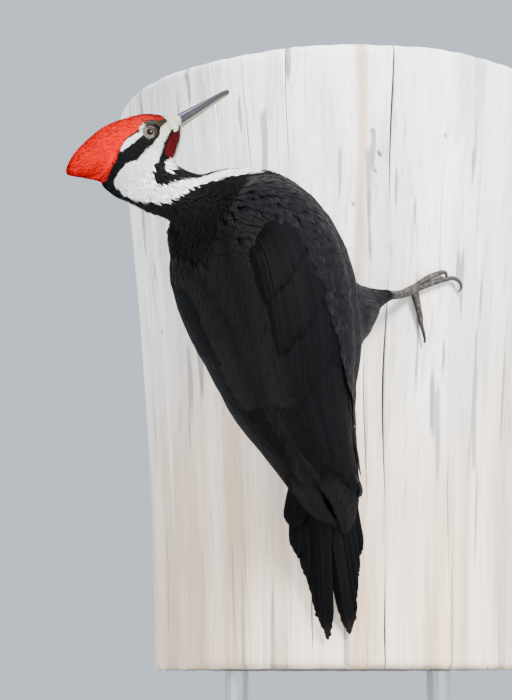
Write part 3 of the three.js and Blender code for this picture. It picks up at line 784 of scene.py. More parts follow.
def ring_points(centres, across, over, width, height, sides):
    """Rings of an ellipse with the given half sizes round each centre."""
    angle = np.linspace(0, 2 * np.pi, sides, endpoint=False)
    return centres[:, None] + across[:, None] * (np.sin(angle)[None] * width[:, None])[..., None] \
        + over[:, None] * (np.cos(angle)[None] * height[:, None])[..., None]


def capped(rings):
    """Closes a stack of rings by drawing its first and last ring in to their middles."""
    first, last = (np.broadcast_to(end.mean(0), end.shape)[None] for end in (rings[0], rings[-1]))
    return np.concatenate([first, rings, last])


def joined(grids):
    """Points and faces of stacks of rings, with each stack's faces counted on from the last one's."""
    starts = np.cumsum([0] + [grid.shape[0] * grid.shape[1] for grid in grids[:-1]])
    faces = [quads(*grid.shape[:2], ring=True) + start for grid, start in zip(grids, starts)]
    return np.concatenate([grid.reshape(-1, 3) for grid in grids]), np.concatenate(faces)


SKIN_CELL = 0.0016


def skin_mesh():
    """Lofts of the body, head and thighs, made one by small cells, then settled under the outline."""
    k = np.linspace(2.15, 13, 90)
    angle = np.linspace(0, 360, 64, endpoint=False)
    k_grid, angle_grid = np.meshgrid(k, angle, indexing="ij")
    signed = (angle_grid + 180) % 360 - 180
    body = on_body(k_grid, angle_grid, wing_swell(k_grid, signed) - 3)
    middle = cross_section(k)[0][:, None]
    body = middle + (body - middle) * rump(k)[:, None, None]
    rows = spline(HEAD, np.linspace(0.4, 9, 60))
    turned = np.linspace(0, 2 * np.pi, 48, endpoint=False)
    tall = np.where(np.cos(turned)[None] > 0, rows[:, 3:4], rows[:, 4:5]) - 1
    head = in_head(rows[:, :1], rows[:, 1:2] + tall * np.cos(turned), (rows[:, 2:3] - 1) * np.sin(turned))
    parts = [body, head]
    for rows in THIGHS.values():
        fine = spline(rows, np.linspace(0, 4, 30))
        along = unit(np.gradient(fine[:, :3], axis=0))
        over = unit(np.cross(along, [0.3, -0.2, 0.9]))
        thick = fine[:, 3] - 1
        parts.append(ring_points(fine[:, :3], np.cross(over, along), over, thick, thick, 24))
    lofts = make_mesh("skin_source", *joined([capped(part) for part in parts]), weld=0.01)
    source = bpy.data.objects.new("skin_source", lofts)
    bpy.context.scene.collection.objects.link(source)
    cells = source.modifiers.new("cells", "REMESH")
    cells.mode = "VOXEL"
    cells.voxel_size = SKIN_CELL
    bpy.context.view_layer.update()
    made = bpy.data.meshes.new_from_object(source.evaluated_get(bpy.context.evaluated_depsgraph_get()))
    bpy.data.objects.remove(source)
    place = np.empty(len(made.vertices) * 3, np.float32)
    made.vertices.foreach_get("co", place)
    place = place.reshape(-1, 3).astype(float) * 1000
    ends = np.empty(len(made.edges) * 2, np.int32)
    made.edges.foreach_get("vertices", ends)
    ends = ends.reshape(-1, 2)
    count = np.bincount(ends.ravel(), minlength=len(place))[:, None]
    for _ in range(3):
        place = settle(place, -coat_depth(place))
        total = np.zeros_like(place)
        np.add.at(total, ends[:, 0], place[ends[:, 1]])
        np.add.at(total, ends[:, 1], place[ends[:, 0]])
        place = 0.4 * place + 0.6 * total / count
    place = settle(place, -coat_depth(place), 1)
    made.vertices.foreach_set("co", (place * 0.001).astype(np.float32).ravel())
    made.polygons.foreach_set("use_smooth", np.ones(len(made.polygons), bool))
    made.update()
    return made, place


skin, skin_places = skin_mesh()
skin.name = "skin"
layer = skin.color_attributes.new("tint", "FLOAT_COLOR", "POINT")
skin_tint = np.ones((len(skin_places), 4), np.float32)
skin_tint[:, :3] = markings(skin_places) * 0.8
layer.data.foreach_set("color", skin_tint.ravel())

down = Finish("down_and_skin", Roughness=0.85)
fluff = down.noise(down.place((900, 900, 900)), detail=3)
down.drive(Base_Color=down.blend(down.attribute("tint"), (0, 0, 0), fluff * 0.35))
down.relief(fluff, 0.0004)
show("skin", skin, down,
     ("trunk", "neck", "head", "crest", "thigh_right", "thigh_left"))


# ---- Coat ---------------------------------------------------------------------------------
# Contour feathers over the skin: thin cupped vanes that overlap down the lie of the plumage.
# They are tiny on the face, long and narrow in the crest and broad on the body.

rng = np.random.default_rng(7)


def raw_lie(points):
    """Direction in which the plumage lies, before it is evened out: back and then down the neck from
    the bill, down the body from the nape to the tail, and down each thigh, blended by nearness."""
    k, _, off_body = body_places(points)
    down_body = -np.stack([np.interp(k, STATIONS, row) for row in PATH[1].T], -1)
    f, u, w = head_places(points)
    drop = np.clip((crest_edge(f) - 2 - u) / 26, 0, 1)[:, None]
    spread = np.sign(w)[:, None] * np.clip(1 - np.abs(w) / 14, 0, 1)[:, None]
    down_head = -forward * (1.05 - drop) - upward * (0.04 + drop)
    down_head += sideward * spread * 0.25 * (1 - drop)

    def nearness(off):
        """A share that falls away with the height over an outline."""
        return np.exp(-np.clip(off, -20, 60) / 3.5)

    total = down_body * nearness(off_body)[:, None] + unit(down_head) * nearness(head_off(points))[:, None]
    for rows in THIGHS.values():
        close = np.linalg.norm(points - rows[2, :3], axis=1) < 60
        off, share = thigh_off(points[close], rows)
        down_leg = unit(rows[4, :3] - rows[1, :3]) + np.array([0, 0.1, -0.55]) * (1 - share[:, None])
        total[close] += unit(down_leg) * (nearness(off) * 1.3 * np.clip(share * 3, 0, 1))[:, None]
    return unit(total)


# The lie is kept on a coarse grid, evened out between neighbouring cells near the outline.
LIE_CELL = 4.0
LIE_SIZE = GRID_SIZE // 2
lie_corners = grid_corners(LIE_CELL, LIE_SIZE)
nearby = np.exp(-np.abs(field(lie_corners)[0]) / 5)[..., None]
LIE = raw_lie(lie_corners.reshape(-1, 3)).reshape(*LIE_SIZE, 3) * nearby
creased = near_crease(lie_corners, 4)[..., None]
LIE = unit(evened(LIE, 2)) * (1 - creased) + unit(evened(LIE, 16)) * creased


def lie(points):
    """The evened lie at points, read between the grid's corners and laid along the outline."""
    outward = field(points)[1]
    along = unit(read_grid(LIE, LIE_CELL, points.reshape(-1, 3)).reshape(points.shape))
    return unit(along - (along * outward).sum(-1, keepdims=True) * outward)


SKIN_FACE = 2.56


def scatter(spacing, keep):
    """Roots spread over the skin about a spacing apart, where keep says so.  Random points are
    thrown on each triangle of the skin, which is about 2.56 square millimetres, and one is kept
    in each cube of space."""
    corner = np.empty(len(skin.loops), np.int32)
    skin.loops.foreach_get("vertex_index", corner)
    starts = np.empty(len(skin.polygons), np.int32)
    skin.polygons.foreach_get("loop_start", starts)
    a, b, c = (skin_places[corner[starts + n]] for n in range(3))
    many = max(1, int(np.ceil(3 * SKIN_FACE / spacing ** 2)))
    u, v = rng.random((2, many, len(a), 1))
    roots = (a + (b - a) * u + (c - b) * v).reshape(-1, 3)
    roots = roots[rng.permutation(len(roots))]
    _, first = np.unique(np.floor(roots / spacing + 0.5).astype(int), axis=0, return_index=True)
    roots = roots[np.sort(first)]
    return roots[keep(roots)]


def unwrap(points):
    """Places on a flat unwrap of the skin's own shape: station and angle for the body, distance
    forward and turn about the head's axis for the head, each in its own part of the square."""
    k, angle, off_body = body_places(points)
    f, u, w = head_places(points)
    turned = np.arctan2(w, u + 6) / (2 * np.pi) + 0.5
    on_head = head_off(points) < off_body
    across = np.where(on_head, 0.63 + 0.35 * (f + 70) / 94, 0.02 + 0.58 * (k - 2) / 11)
    return np.stack([across, 0.02 + 0.96 * np.where(on_head, turned, angle / 360 + 0.5)], -1)


def feather_grid(roots, length, width, rows, columns, sink, rise, cup=0.12, taper=1.0, fray=0.12,
                 flow=lie, tip_lift=0.0):
    """Cupped vanes that follow the lie from their roots.  A vane's half width is its width times
    the root of (share + 0.12) times (1 - share to the 3rd) to a taper, its height climbs from
    under the skin to its tip, and the ends of its outer barbs are shorter and uneven."""
    count = len(roots)
    length, width, sink, rise, tip_lift = (np.broadcast_to(x, count)[:, None, None] for x in
                                           (length, width, sink, rise, tip_lift))
    share = np.linspace(0, 1, rows)
    here, spine, across = roots, [], []
    for _ in range(rows):
        along = flow(here)
        outward = field(here)[1]
        spine.append(here)
        across.append(np.cross(along, outward))
        here = settle(here + along * length[:, 0] / (rows - 1), -1.0, 1)
    spine, across = np.stack(spine, 1), np.stack(across, 1)
    side = np.linspace(-1, 1, columns)[None, None]
    profile = (np.sqrt(share + 0.12) * (1 - share ** 3.2) ** taper)[None, :, None]
    fringe = 1 + 0.22 * rng.standard_normal((count, 1, columns)) * share[None, :, None] ** 4
    sideways = width * profile * side * fringe
    points = spine[:, :, None] + across[:, :, None] * sideways[..., None]
    runs = np.diff(spine, axis=1, append=2 * spine[:, -1:] - spine[:, -2:-1])
    short = -(0.22 * side ** 2 + fray * rng.random((count, 1, columns))) * share[None, :, None] ** 2
    points = points + runs[:, :, None] * (short * (rows - 1))[..., None] * 0.5
    height = -sink + (sink + rise) * (share ** 0.7)[None, :, None] - cup * width * side ** 2 \
        + tip_lift * (share ** 3)[None, :, None]
    for _ in range(2):
        off, outward = field(points)
        points = points + outward * (height - off)[..., None]
    return points, spine


def vane_maps(roots, rows, columns):
    """OFBake: each vane a patch 0.003 across at its root's place; vane: across and along it."""
    u, v = np.meshgrid(np.linspace(0, 1, columns), np.linspace(0, 1, rows))
    own = np.broadcast_to(np.stack([u, v], -1), (len(roots), rows, columns, 2))
    patch = unwrap(roots)[:, None, None] + (own - 0.5) * 0.003
    return {"OFBake": patch, "vane": own}


def add_coat(name, slot, roots, finish, length, width, rows, columns,
             shade=0.16, bright=1.0, pale=0.0, **shape):
    """One piece of plumage: vanes at the roots, coloured by the markings where each vane shows, and
    paler towards the tip by a factor of 1 + pale."""
    points, spine = feather_grid(roots, length, width, rows, columns, **shape)
    seen = spine[:, (rows * 2) // 3]
    tint = markings(seen) * bright
    tint = tint * (1 + shade * rng.standard_normal((len(roots), 1))).clip(0.6, 1.5)
    towards_tip = np.linspace(0, 1, rows)[None, :, None, None] ** 4
    tints = tint[:, None, None] * (1 + np.broadcast_to(pale, len(roots))[:, None, None, None] * towards_tip)
    tints = np.broadcast_to(tints, points.shape)
    mesh = make_mesh(name, points, quads(rows, columns, count=len(roots)), vane_maps(roots, rows, columns),
                     {"tint": tints})
    show(name, mesh, finish)


def plumage(name, roughness=0.6, gloss=0.1, barbs=55.0, depth=0.0002, root_shadow=0.3):
    """Feather finish: the tint, darker towards the root, with slanting barbs across the vane."""
    finish = Finish(name, Roughness=roughness, Specular_IOR_Level=gloss)
    across, along = finish.own_map("vane")
    barb = ((along - abs(across - 0.5) * 0.9) * barbs).sine()
    shadow = (1 - along.between(0.0, 0.75)) * root_shadow + (0.5 - barb * 0.5) * 0.10
    finish.drive(Base_Color=finish.blend(finish.attribute("tint"), (0, 0, 0), shadow))
    finish.relief(barb, depth)
    return finish


def region(points):
    """For points: height over the head and body outlines, station, side-view places, station angle."""
    k, angle, off_body = body_places(points)
    return head_off(points), off_body, k, angle, *head_places(points)[:2]


def on_crest(points):
    """The head above the crest's edge, as far forward as the bill."""
    off_head, off_body, _, _, f, u = region(points)
    return (off_head < off_body + 1) & (u > crest_edge(f) - 1) & (f < 14)


def clear_of_eyes(points):
    """Outside the bare skin round the eyes."""
    return from_eye(*head_places(points)[:2]) > 4.4


def on_face(points):
    """The head below the crest, but for the eyes."""
    off_head, off_body, *_ = region(points)
    return (off_head < off_body + 1) & ~on_crest(points) & clear_of_eyes(points)


def off_head_and_wings(points):
    """The neck, back, breast and belly, away from where the flight feathers cover the skin."""
    off_head, off_body, k, angle, *_ = region(points)
    share = wing_share(k, angle)
    return (off_body < off_head + 1.5) & ((share < 0.10) | (share > 0.95) | (k > 8.4))


soft_plumage = plumage("soft_plumage", 0.72, 0.08, 25.0, 0.0001, 0.12)
crest_plumage = plumage("crest_plumage", 0.7, 0.03, 18.0, 0.00006, 0.05)
black_plumage = plumage("black_plumage", 0.58, 0.08, 60.0, 0.00014, 0.15)

roots = scatter(0.95, on_face)
f, u, _ = head_places(roots)
size = np.clip(1.25 - (f + 40) / 62 * 0.75, 0.45, 1.4)
add_coat("face_feathers", "body_plumage", roots, soft_plumage, 5.2 * size, 0.85 * size ** 0.5, 5, 3,
         shade=0.07, sink=1.1, rise=0.15 + 0.35 * rng.random(len(roots)), cup=0.25)

roots = scatter(1.05, on_crest)
f, u, _ = head_places(roots)
back = np.clip((8 - f) / 50, 0, 1)
add_coat("crest_feathers", "crest_plumage", roots, crest_plumage, 5 + 14 * back, 0.8 + 0.65 * back, 6, 3,
         shade=0.04, sink=1.6, rise=0.1 + 0.06 * rng.random(len(roots)) * back, cup=0.05, taper=1.3,
         fray=0.3, tip_lift=0.05 + 0.1 * back ** 2 * rng.random(len(roots)))

roots = scatter(2.1, lambda p: off_head_and_wings(p) & (region(p)[2] > 8.5))
add_coat("neck_feathers", "body_plumage", roots, soft_plumage, 8.5 + 2 * rng.random(len(roots)), 1.9, 6, 5,
         shade=0.1, sink=2.2, rise=0.2 + 0.35 * rng.random(len(roots)), cup=0.2, fray=0.35)

roots = scatter(3.8, lambda p: off_head_and_wings(p) & (region(p)[2] <= 8.8))
k, angle, _ = body_places(roots)
big = np.clip((10 - k) / 3, 0, 1)
# Feathers' tips painted paler on the right flank: a painted sheen of the lit flank.
flank = np.clip((angle - 60) / 30, 0, 1) * np.clip((k - 4) / 2, 0, 1)
add_coat("body_feathers", "body_plumage", roots, black_plumage, 11 + 8 * big, 2.6 + 2.2 * big, 7, 5,
         shade=0.2, sink=1.6, rise=0.6 + 0.2 * rng.random(len(roots)), cup=0.05, fray=0.25, tip_lift=-0.6,
         pale=0.3 + (1 + 6 * rng.random(len(roots)) ** 3) * flank)


# The flank's feathers lie over the folded wing from this share of its width outwards, by station.
FLANK_AT, FLANK_FROM = [4.4, 5.2, 6, 7, 8, 9], [1.1, 0.9, 0.7, 0.58, 0.52, 0.4]


def over_shoulders(points):
    """The wings' bends, the mantle's edges and the flanks, where small feathers cover the wings."""
    off_head, off_body, k, angle, *_ = region(points)
    share = wing_share(k, angle)
    on_bend = (k > 7.5 + 0.5 * np.clip(share, 0, 1)) & (k < 9.0) & (share > -0.15) & (share < 1.1)
    on_mantle = (k > 5.3) & (k <= 8.8) & (share > -0.3) & (share < 0.24 + 0.04 * (k - 5.3))
    on_flank = (k < 9) & (share < 1.15) & (share > np.interp(k, FLANK_AT, FLANK_FROM))
    return (off_body < off_head) & (on_bend | on_mantle | on_flank)


roots = scatter(3.2, over_shoulders)
k, angle, _ = body_places(roots)
# Feathers painted lighter, with paler tips, towards the flanks: a painted sheen of the lit flanks.
outside = np.clip((np.abs(angle) - 45) / 20, 0, 1)
long = np.clip((8.9 - k) / 2.6, 0, 1) * (1 - 0.45 * outside)
add_coat("shoulder_feathers", "body_plumage", roots, black_plumage, 10.5 + 11 * long, 2.6 + 2.5 * long, 7, 5,
         shade=0.12, sink=0.2, rise=2.2 + 0.3 * outside + 0.2 * rng.random(len(roots)), cup=0.04, fray=0.2,
         tip_lift=-1.0, pale=0.1 + (0.6 + 7 * rng.random(len(roots)) ** 4) * outside,
         bright=0.72 + 0.28 * outside[:, None])


# ---- Leg feathers -------------------------------------------------------------------------
# Short close feathers that sheathe each leg down to the ankle and end in a ragged cuff there,
# which hides where the plumage stops and the bare shank begins.

def near_ankle(points):
    """Within 17 mm of the thinnest part of a thigh."""
    return np.any([np.linalg.norm(points - rows[3, :3], axis=1) < 17 for rows in THIGHS.values()], axis=0)


roots = scatter(1.5, near_ankle)
add_coat("leg_feathers", "body_plumage", roots, black_plumage, 6.0 + rng.random(len(roots)), 1.3, 6, 3,
         shade=0.15, sink=1.8, rise=0.25 + 0.3 * rng.random(len(roots)), cup=0.15, taper=1.2, fray=0.4)


CUFF_VANES, CUFF_ROWS = 90, 6


def cuff_mesh(side):
    """Pointed vanes in a ring round the ankle: each starts on the thigh's end and lies down the shank."""
    rows, each = THIGHS[side], (CUFF_VANES, 1, 1)
    along = unit(rows[4, :3] - rows[3, :3])
    across = unit(np.cross(along, [0, 0, 1.0]))
    over = np.cross(across, along)
    around = np.linspace(0, 2 * np.pi, CUFF_VANES, endpoint=False)[:, None, None]
    around = around + rng.normal(0, 0.05, each)
    share = np.linspace(0, 1, CUFF_ROWS)[None, :, None]
    reach = rng.uniform(5, 8.5, each)
    start = rng.uniform(-5.5, -1.5, each)
    column = np.array([-1, 0, 1])
    radius = 4.9 - 1.4 * share + 0.2 * (1 - np.abs(column))
    turn = around + column * 0.16 * (1 - share ** 2.2) + 0.25 * share * rng.standard_normal(each)
    points = rows[4, :3] + along * (start + reach * share)[..., None] \
        + (across * np.cos(turn)[..., None] + over * np.sin(turn)[..., None]) * radius[..., None]
    tints = np.broadcast_to(BLACK * rng.uniform(0.8, 1.4, each + (1,)), points.shape)
    return make_mesh(f"cuff_{side}", points, quads(CUFF_ROWS, 3, count=CUFF_VANES),
                     vane_maps(points[:, 0, 1], CUFF_ROWS, 3), {"tint": tints})


for side in ("right", "left"):
    show(f"cuff_{side}", cuff_mesh(side), black_plumage)


# ---- Wings --------------------------------------------------------------------------------
# Folded along the back: primaries lowest, then secondaries and the three inner feathers, and rows
# of coverts over their roots.  Each outer vane lies over its outer neighbour, like roof tiles.

def vane_columns(shaft):
    """Places across a vane from -1, its inner edge, to 1, with three close together at its shaft."""
    return np.concatenate([np.linspace(-1, shaft - 0.07, 5), [shaft], np.linspace(shaft + 0.07, 1, 4)])


def vane_width(share, blunt, slim=0.15):
    """Share of the full half width along a vane: a root's rise, level, then a rounded tip."""
    tip = np.clip((share - blunt) / (1 - blunt), 0, 1)
    return np.clip(share / slim, 0.04, 1) ** 0.5 * np.clip(1 - tip ** 2.2, 0.015, 1) ** 0.62


def closed_vanes(name, upper, lower, across, along, tint):
    """Thin closed feathers from their upper and lower faces, each (count, rows, columns, 3).  Each
    feather has its own cell of the map OFBake, and vane is the map across and along it."""
    count, rows, columns = upper.shape[:3]
    ring = np.concatenate([upper, lower[:, :, ::-1]], 2)
    root, tip = (np.broadcast_to(ring[:, n].mean(1)[:, None, None], ring[:, :1].shape) for n in (0, -1))
    ring = np.concatenate([root, ring, tip], 1)
    u = np.concatenate([across, across[::-1]])
    v = np.concatenate([along[:1], along, along[-1:]])
    own = np.broadcast_to(np.stack(np.meshgrid(u, v), -1), (count, rows + 2, 2 * columns, 2))
    cells = int(np.ceil(np.sqrt(count)))
    spread = np.where(np.arange(2 * columns) < columns, own[..., 0] / 2, 1 - own[..., 0] / 2)
    cell = np.stack([np.arange(count) % cells, np.arange(count) // cells], -1)[:, None, None]
    bake = (cell + 0.03 + 0.94 * np.stack([spread, own[..., 1]], -1)) / cells
    tint = np.concatenate([tint[:, :1], tint, tint[:, -1:]], 1)
    tint = np.concatenate([tint, tint[:, :, ::-1]], 2)
    faces = quads(rows + 2, 2 * columns, ring=True, count=count)
    return make_mesh(name, ring, faces, {"OFBake": bake, "vane": own}, {"tint": tint}, weld=0.004)


def flight_finish(name, shaft):
    """Black flight feather: a dark shaft, slanting barbs, and edges a little paler, partly worn and partly a
    painted sheen.
    """
    finish = Finish(name, Specular_IOR_Level=0.03)
    across, along = finish.own_map("vane")
    from_shaft = abs(across - (shaft + 1) / 2)
    barb = ((along - from_shaft * 0.35) * 640.0).sine()
    clump = finish.noise(finish.pair(across * 0.6, along * 26.0 - from_shaft * 9.0), 1.5, 3)
    quill = 1 - from_shaft.between(0.018, 0.035)
    # Paler edges and patches: partly wear, partly a painted sheen.
    worn = from_shaft.between(0.30, 0.56) * 0.5 + clump.between(0.45, 0.8) * 0.35
    vane = finish.blend(finish.attribute("tint"), (0.007, 0.007, 0.008), worn * 0.5)
    finish.drive(Base_Color=finish.blend(vane, (0.0045, 0.0045, 0.0048), quill),
                 Roughness=0.50 - quill * 0.06 + clump * 0.1)
    finish.relief(barb * 0.3 + clump * 1.0 + quill * 0.4, 0.0002)
    return finish


FLIGHT_ROWS, WING_SHAFT = 26, 0.25


def wing_vanes(rows, side):
    """Stations, angles and heights over the body of a wing's vanes, as if on the right, and places
    across and along a vane.  Each row: station and share across the wing of the root, the same of
    the tip, half width, height over the wing's surface, tip bluntness, and sideways bow.  A vane's
    outer edge stands up and its inner edge is tucked down."""
    root_k, root_v, tip_k, tip_v, half, level, blunt, bow = rows.T[:, :, None, None]
    along = np.sin(np.linspace(0, np.pi / 2, FLIGHT_ROWS)) ** 0.9
    across = vane_columns(WING_SHAFT)
    share = along[None, :, None]
    k = root_k + (tip_k - root_k) * share
    inner, outer, height = (np.interp(k, WING_AT, row) for row in (WING_INNER, WING_OUTER, WING_HEIGHT))
    v = root_v + (tip_v - root_v) * share + bow * np.sin(np.pi * share)
    _, _, _, _, half_body, back, belly = cross_section(k)
    middle = np.radians(inner + (outer - inner) * v)
    tall = np.where(np.cos(middle) > 0, back, belly)
    pace = np.hypot(half_body * np.cos(middle), tall * np.sin(middle))
    pace = np.radians(1) * np.maximum(pace, 12)
    ragged = 1 + 0.035 * rng.standard_normal((len(rows), FLIGHT_ROWS, 1)) * (np.abs(across) > 0.9)
    wide = half * vane_width(share, blunt) * across * ragged
    angle = inner + (outer - inner) * v + wide / pace
    share_here = np.clip((angle - inner) / (outer - inner), 0.0, 1.0)
    swell = height * np.sqrt(np.clip(np.sin(np.pi * share_here), 0, 1)) * (1 - left_tuck(k) * (side < 0))
    lift = swell + level + 0.55 * across - 0.3 * across ** 2 * (half / 8)
    lift = lift + 0.22 * np.exp(-((across - WING_SHAFT) / 0.05) ** 2)
    under_flank = np.clip((share_here - np.interp(k, FLANK_AT, FLANK_FROM)) / 0.1, 0, 1)
    lift = lift - 1.6 * (under_flank * np.clip((9.3 - k) / 0.5, 0, 1))
    return k, angle, lift, across, along


WORN_AND_SHEEN_BLACK = np.array([0.0115, 0.0108, 0.0105])


def add_wing(name, side, rows, finish, replaces, crossing, drop, thick=0.45):
    """All the flight feathers and coverts of one wing as one mesh.  Its tip crosses the middle of the
    back by an angle and lies lower by a drop, both from station 2.9 down."""
    k, angle, lift, across, along = wing_vanes(rows, side)
    k = np.broadcast_to(k, angle.shape)
    tip = np.clip((2.9 - k) / 1.7, 0, 1) ** 1.3
    angle, lift = angle - crossing * tip, lift - drop * tip
    upper, lower = (on_body(k, side * angle, lift - down) for down in (0, thick))
    shade = BLACK * 0.7 * (1 + 0.2 * rng.standard_normal((len(rows), 1, 1, 1)).clip(-1.5, 2))
    # The primaries' tips turn paler and browner: partly wear, partly a painted sheen.
    near_tip = np.clip((along - 0.85) / 0.15, 0, 1)[None, :, None, None]
    worn = (rows[:, 2] < 2.35)[:, None, None, None] * near_tip
    tint = np.broadcast_to(shade * (1 - worn) + WORN_AND_SHEEN_BLACK * worn, upper.shape)
    show(name, closed_vanes(name, upper, lower, (across + 1) / 2, along, tint), finish, replaces)


def between(first, last, count, power=1.0):
    """Evenly spread values, or bent towards one end by a power."""
    return first + (last - first) * np.linspace(0, 1, count) ** power


def tract(count, *columns):
    """Rows of feathers, from columns that are listed or go evenly from a first to a last value."""
    return np.stack([between(*column, count) if isinstance(column, tuple) else column
                     for column in columns], 1)


def wing_rows():
    """The rows of a wing's feathers, lowest first, with a little disorder."""
    primaries = tract(10, (7.2, 7.9), (0.62, 0.9), [2.3, 2.05, 1.78, 1.5, 1.27, 1.1, 1.05, 1.4, 1.95, 2.9],
                      (0.2, 0.93), (9.5, 6.5), (-0.9, -2.6), (0.86, 0.8), (0.02, 0.06))[::-1]
    secondaries = tract(9, (7.7, 6.4), (0.8, 0.28), (2.42, 3.45), (0.66, 0.15), (9.5, 10.5),
                        (-0.9, -0.1), (0.9, 0.88), (0.04, 0))
    inner = tract(3, (6.6, 6.2), (0.24, 0.12), [3.55, 3.85, 4.3], [0.14, 0.15, 0.17], (10.5, 9.5),
                  (0.1, 0.6), (0.86, 0.84), (0, 0))
    hand = tract(9, (8.1, 8.2), (0.72, 0.97), between(5.5, 6.9, 9, 1.6), (0.72, 0.985), (7, 5),
                 (0.15, -0.35), (0.86, 0.82), (0.02, 0))[::-1]
    greater = tract(10, (8, 6.6), (0.74, 0.22), (5.75, 4.75), (0.72, 0.18), (8, 9),
                    (0.35, 0.7), (0.85, 0.83), (0.02, 0))
    median = tract(11, (8.3, 7), (0.86, 0.22), (6.75, 5.75), (0.86, 0.2), (6.5, 7.5),
                   (0.7, 1), (0.8, 0.78), (0, 0))
    lesser = tract(12, (8.7, 7.6), (0.9, 0.2), (7.5, 6.6), (0.9, 0.2), (5.5, 6.5),
                   (0.95, 1.2), (0.78, 0.76), (0, 0))
    rows = np.concatenate([primaries, secondaries, inner, hand, greater, median, lesser])
    jitter = rng.standard_normal(rows.shape) * [0.03, 0.004, 0.03, 0.006, 0.25, 0.03, 0.008, 0.004]
    return rows + jitter


flight_black = flight_finish("flight_feathers", WING_SHAFT)
add_wing("right_wing_feathers", 1, wing_rows(), flight_black, ("wing_right",), 5, -0.8)
add_wing("left_wing_feathers", -1, wing_rows(), flight_black, ("wing_left",), 27, 1.4)


# ---- Tail ---------------------------------------------------------------------------------
# Twelve stiff pointed feathers pressed on the wood, in two bunches, the middle pair outermost and
# longest.  Their shafts are thick, and their tips are worn ragged and brown.

TAIL_ROOT = np.array([-17.0, -175, 213])
# Tip x, tip z, height of the tip off the wood and half width, from the middle pair outwards.
TAIL_TIPS = {1: [(4.5, 98, 1.2, 7.5), (6, 104, 1.6, 8.5), (7.5, 119, 3, 9), (8, 134, 5, 9.5),
                 (10.5, 151, 9, 9.5), (11, 218, 30, 6)],
             -1: [(-12, 95, 1.2, 8), (-15.5, 103, 1.6, 9), (-19, 118, 3, 10.5), (-25, 133, 5, 10),
                  (-33, 152, 9, 11.5), (-38.5, 173, 18, 10.5)]}
BLADE_ROWS = 40
WORN_BROWN = np.array([0.030, 0.022, 0.017])


def tail_mesh():
    """Blades swept along bows from the rump to their tips, tilted like tiles to each side."""
    _, _, up, right, *_ = (part[0] for part in cross_section(np.array([2.6])))
    share = np.sin(np.linspace(0, np.pi / 2, BLADE_ROWS)) ** 0.9
    s = share[:, None]
    worn = np.clip((s - 0.80) / 0.2, 0, 1)
    across = vane_columns(0.0)
    uppers, lowers, tints = [], [], []
    for side, tips in TAIL_TIPS.items():
        for number, (x, z, lift, half) in enumerate(tips):
            root = TAIL_ROOT + right * side * 2.6 * (number + 0.5) - up * 1.3 * (number + 0.5)
            reach = pole_radius(z) + lift + 1.2
            tip = np.array([x, -np.sqrt(reach ** 2 - x ** 2), z])
            middle = (root + tip) / 2 + up * 5
            spine = root * (1 - s) ** 2 + middle * 2 * s * (1 - s) + tip * s ** 2
            along = unit(np.gradient(spine, axis=0))
            sideways = -unit(np.cross(up, along))
            over = unit(np.cross(sideways, along))
            over = over * np.sign((over @ up))[:, None]
            fray = 1 - 0.55 * rng.random((BLADE_ROWS, len(across))) * worn * (np.abs(across) > 0.5)
            width = half * vane_width(s, 0.66 + 0.16 * (number < 2), 0.25) * (0.92 + 0.12 * np.cos(s * 3))
            flat = spine[:, None] + sideways[:, None] * (width * across * fray)[..., None]
            flat = flat - along[:, None] * (5 * rng.random((1, len(across))) * worn ** 2)[..., None]
            quill = 0.7 * np.exp(-(across / 0.05) ** 2) * (1 - 0.6 * s)
            level = 0.6 - 1.5 * across ** 2 * (half / 10) + quill + 0.5 * across * side
            uppers.append(flat + over[:, None] * level[..., None])
            lowers.append(flat + over[:, None] * (level - 0.5)[..., None])
            patchy = 0.3 + 0.7 * rng.random((BLADE_ROWS, len(across)))
            brown = (np.clip((s - 0.88) / 0.12, 0, 1) * patchy * (number < 3))[..., None]
            shade = BLACK * 0.6 * (1 + 0.2 * rng.standard_normal())
            tints.append(shade * (1 - brown) + WORN_BROWN * brown)
    return closed_vanes("tail_feathers", np.array(uppers), np.array(lowers), (across + 1) / 2, share,
                        np.array(tints))


show("tail_feathers", tail_mesh(), flight_finish("tail_black", 0.0), ("tail",))


# ---- Bill ---------------------------------------------------------------------------------
# A straight chisel of slate horn in two halves that meet along the gape.  The upper half has a sharp
# ridge along its top and one along each side, and both end in a squared edge.

# Forward of the eyes: top of the upper half, gape, bottom of the lower half, half width.
BILL = np.array([[14, 1.2, -5.5, -9.2, 6.3], [20, 1.1, -5.2, -8.9, 6.0], [34, 0.6, -4.5, -7.6, 5.0],
                 [48, -0.1, -3.6, -6.2, 3.8], [58, -0.4, -2.95, -5.3, 3.1], [63, -0.8, -2.7, -4.8, 2.6],
                 [64.4, -1.4, -2.6, -4.2, 2.2]])


BILL_ROWS, ARCH_SIDES, GAPE_SIDES = 90, 41, 19
GAPE_GAP = 0.08


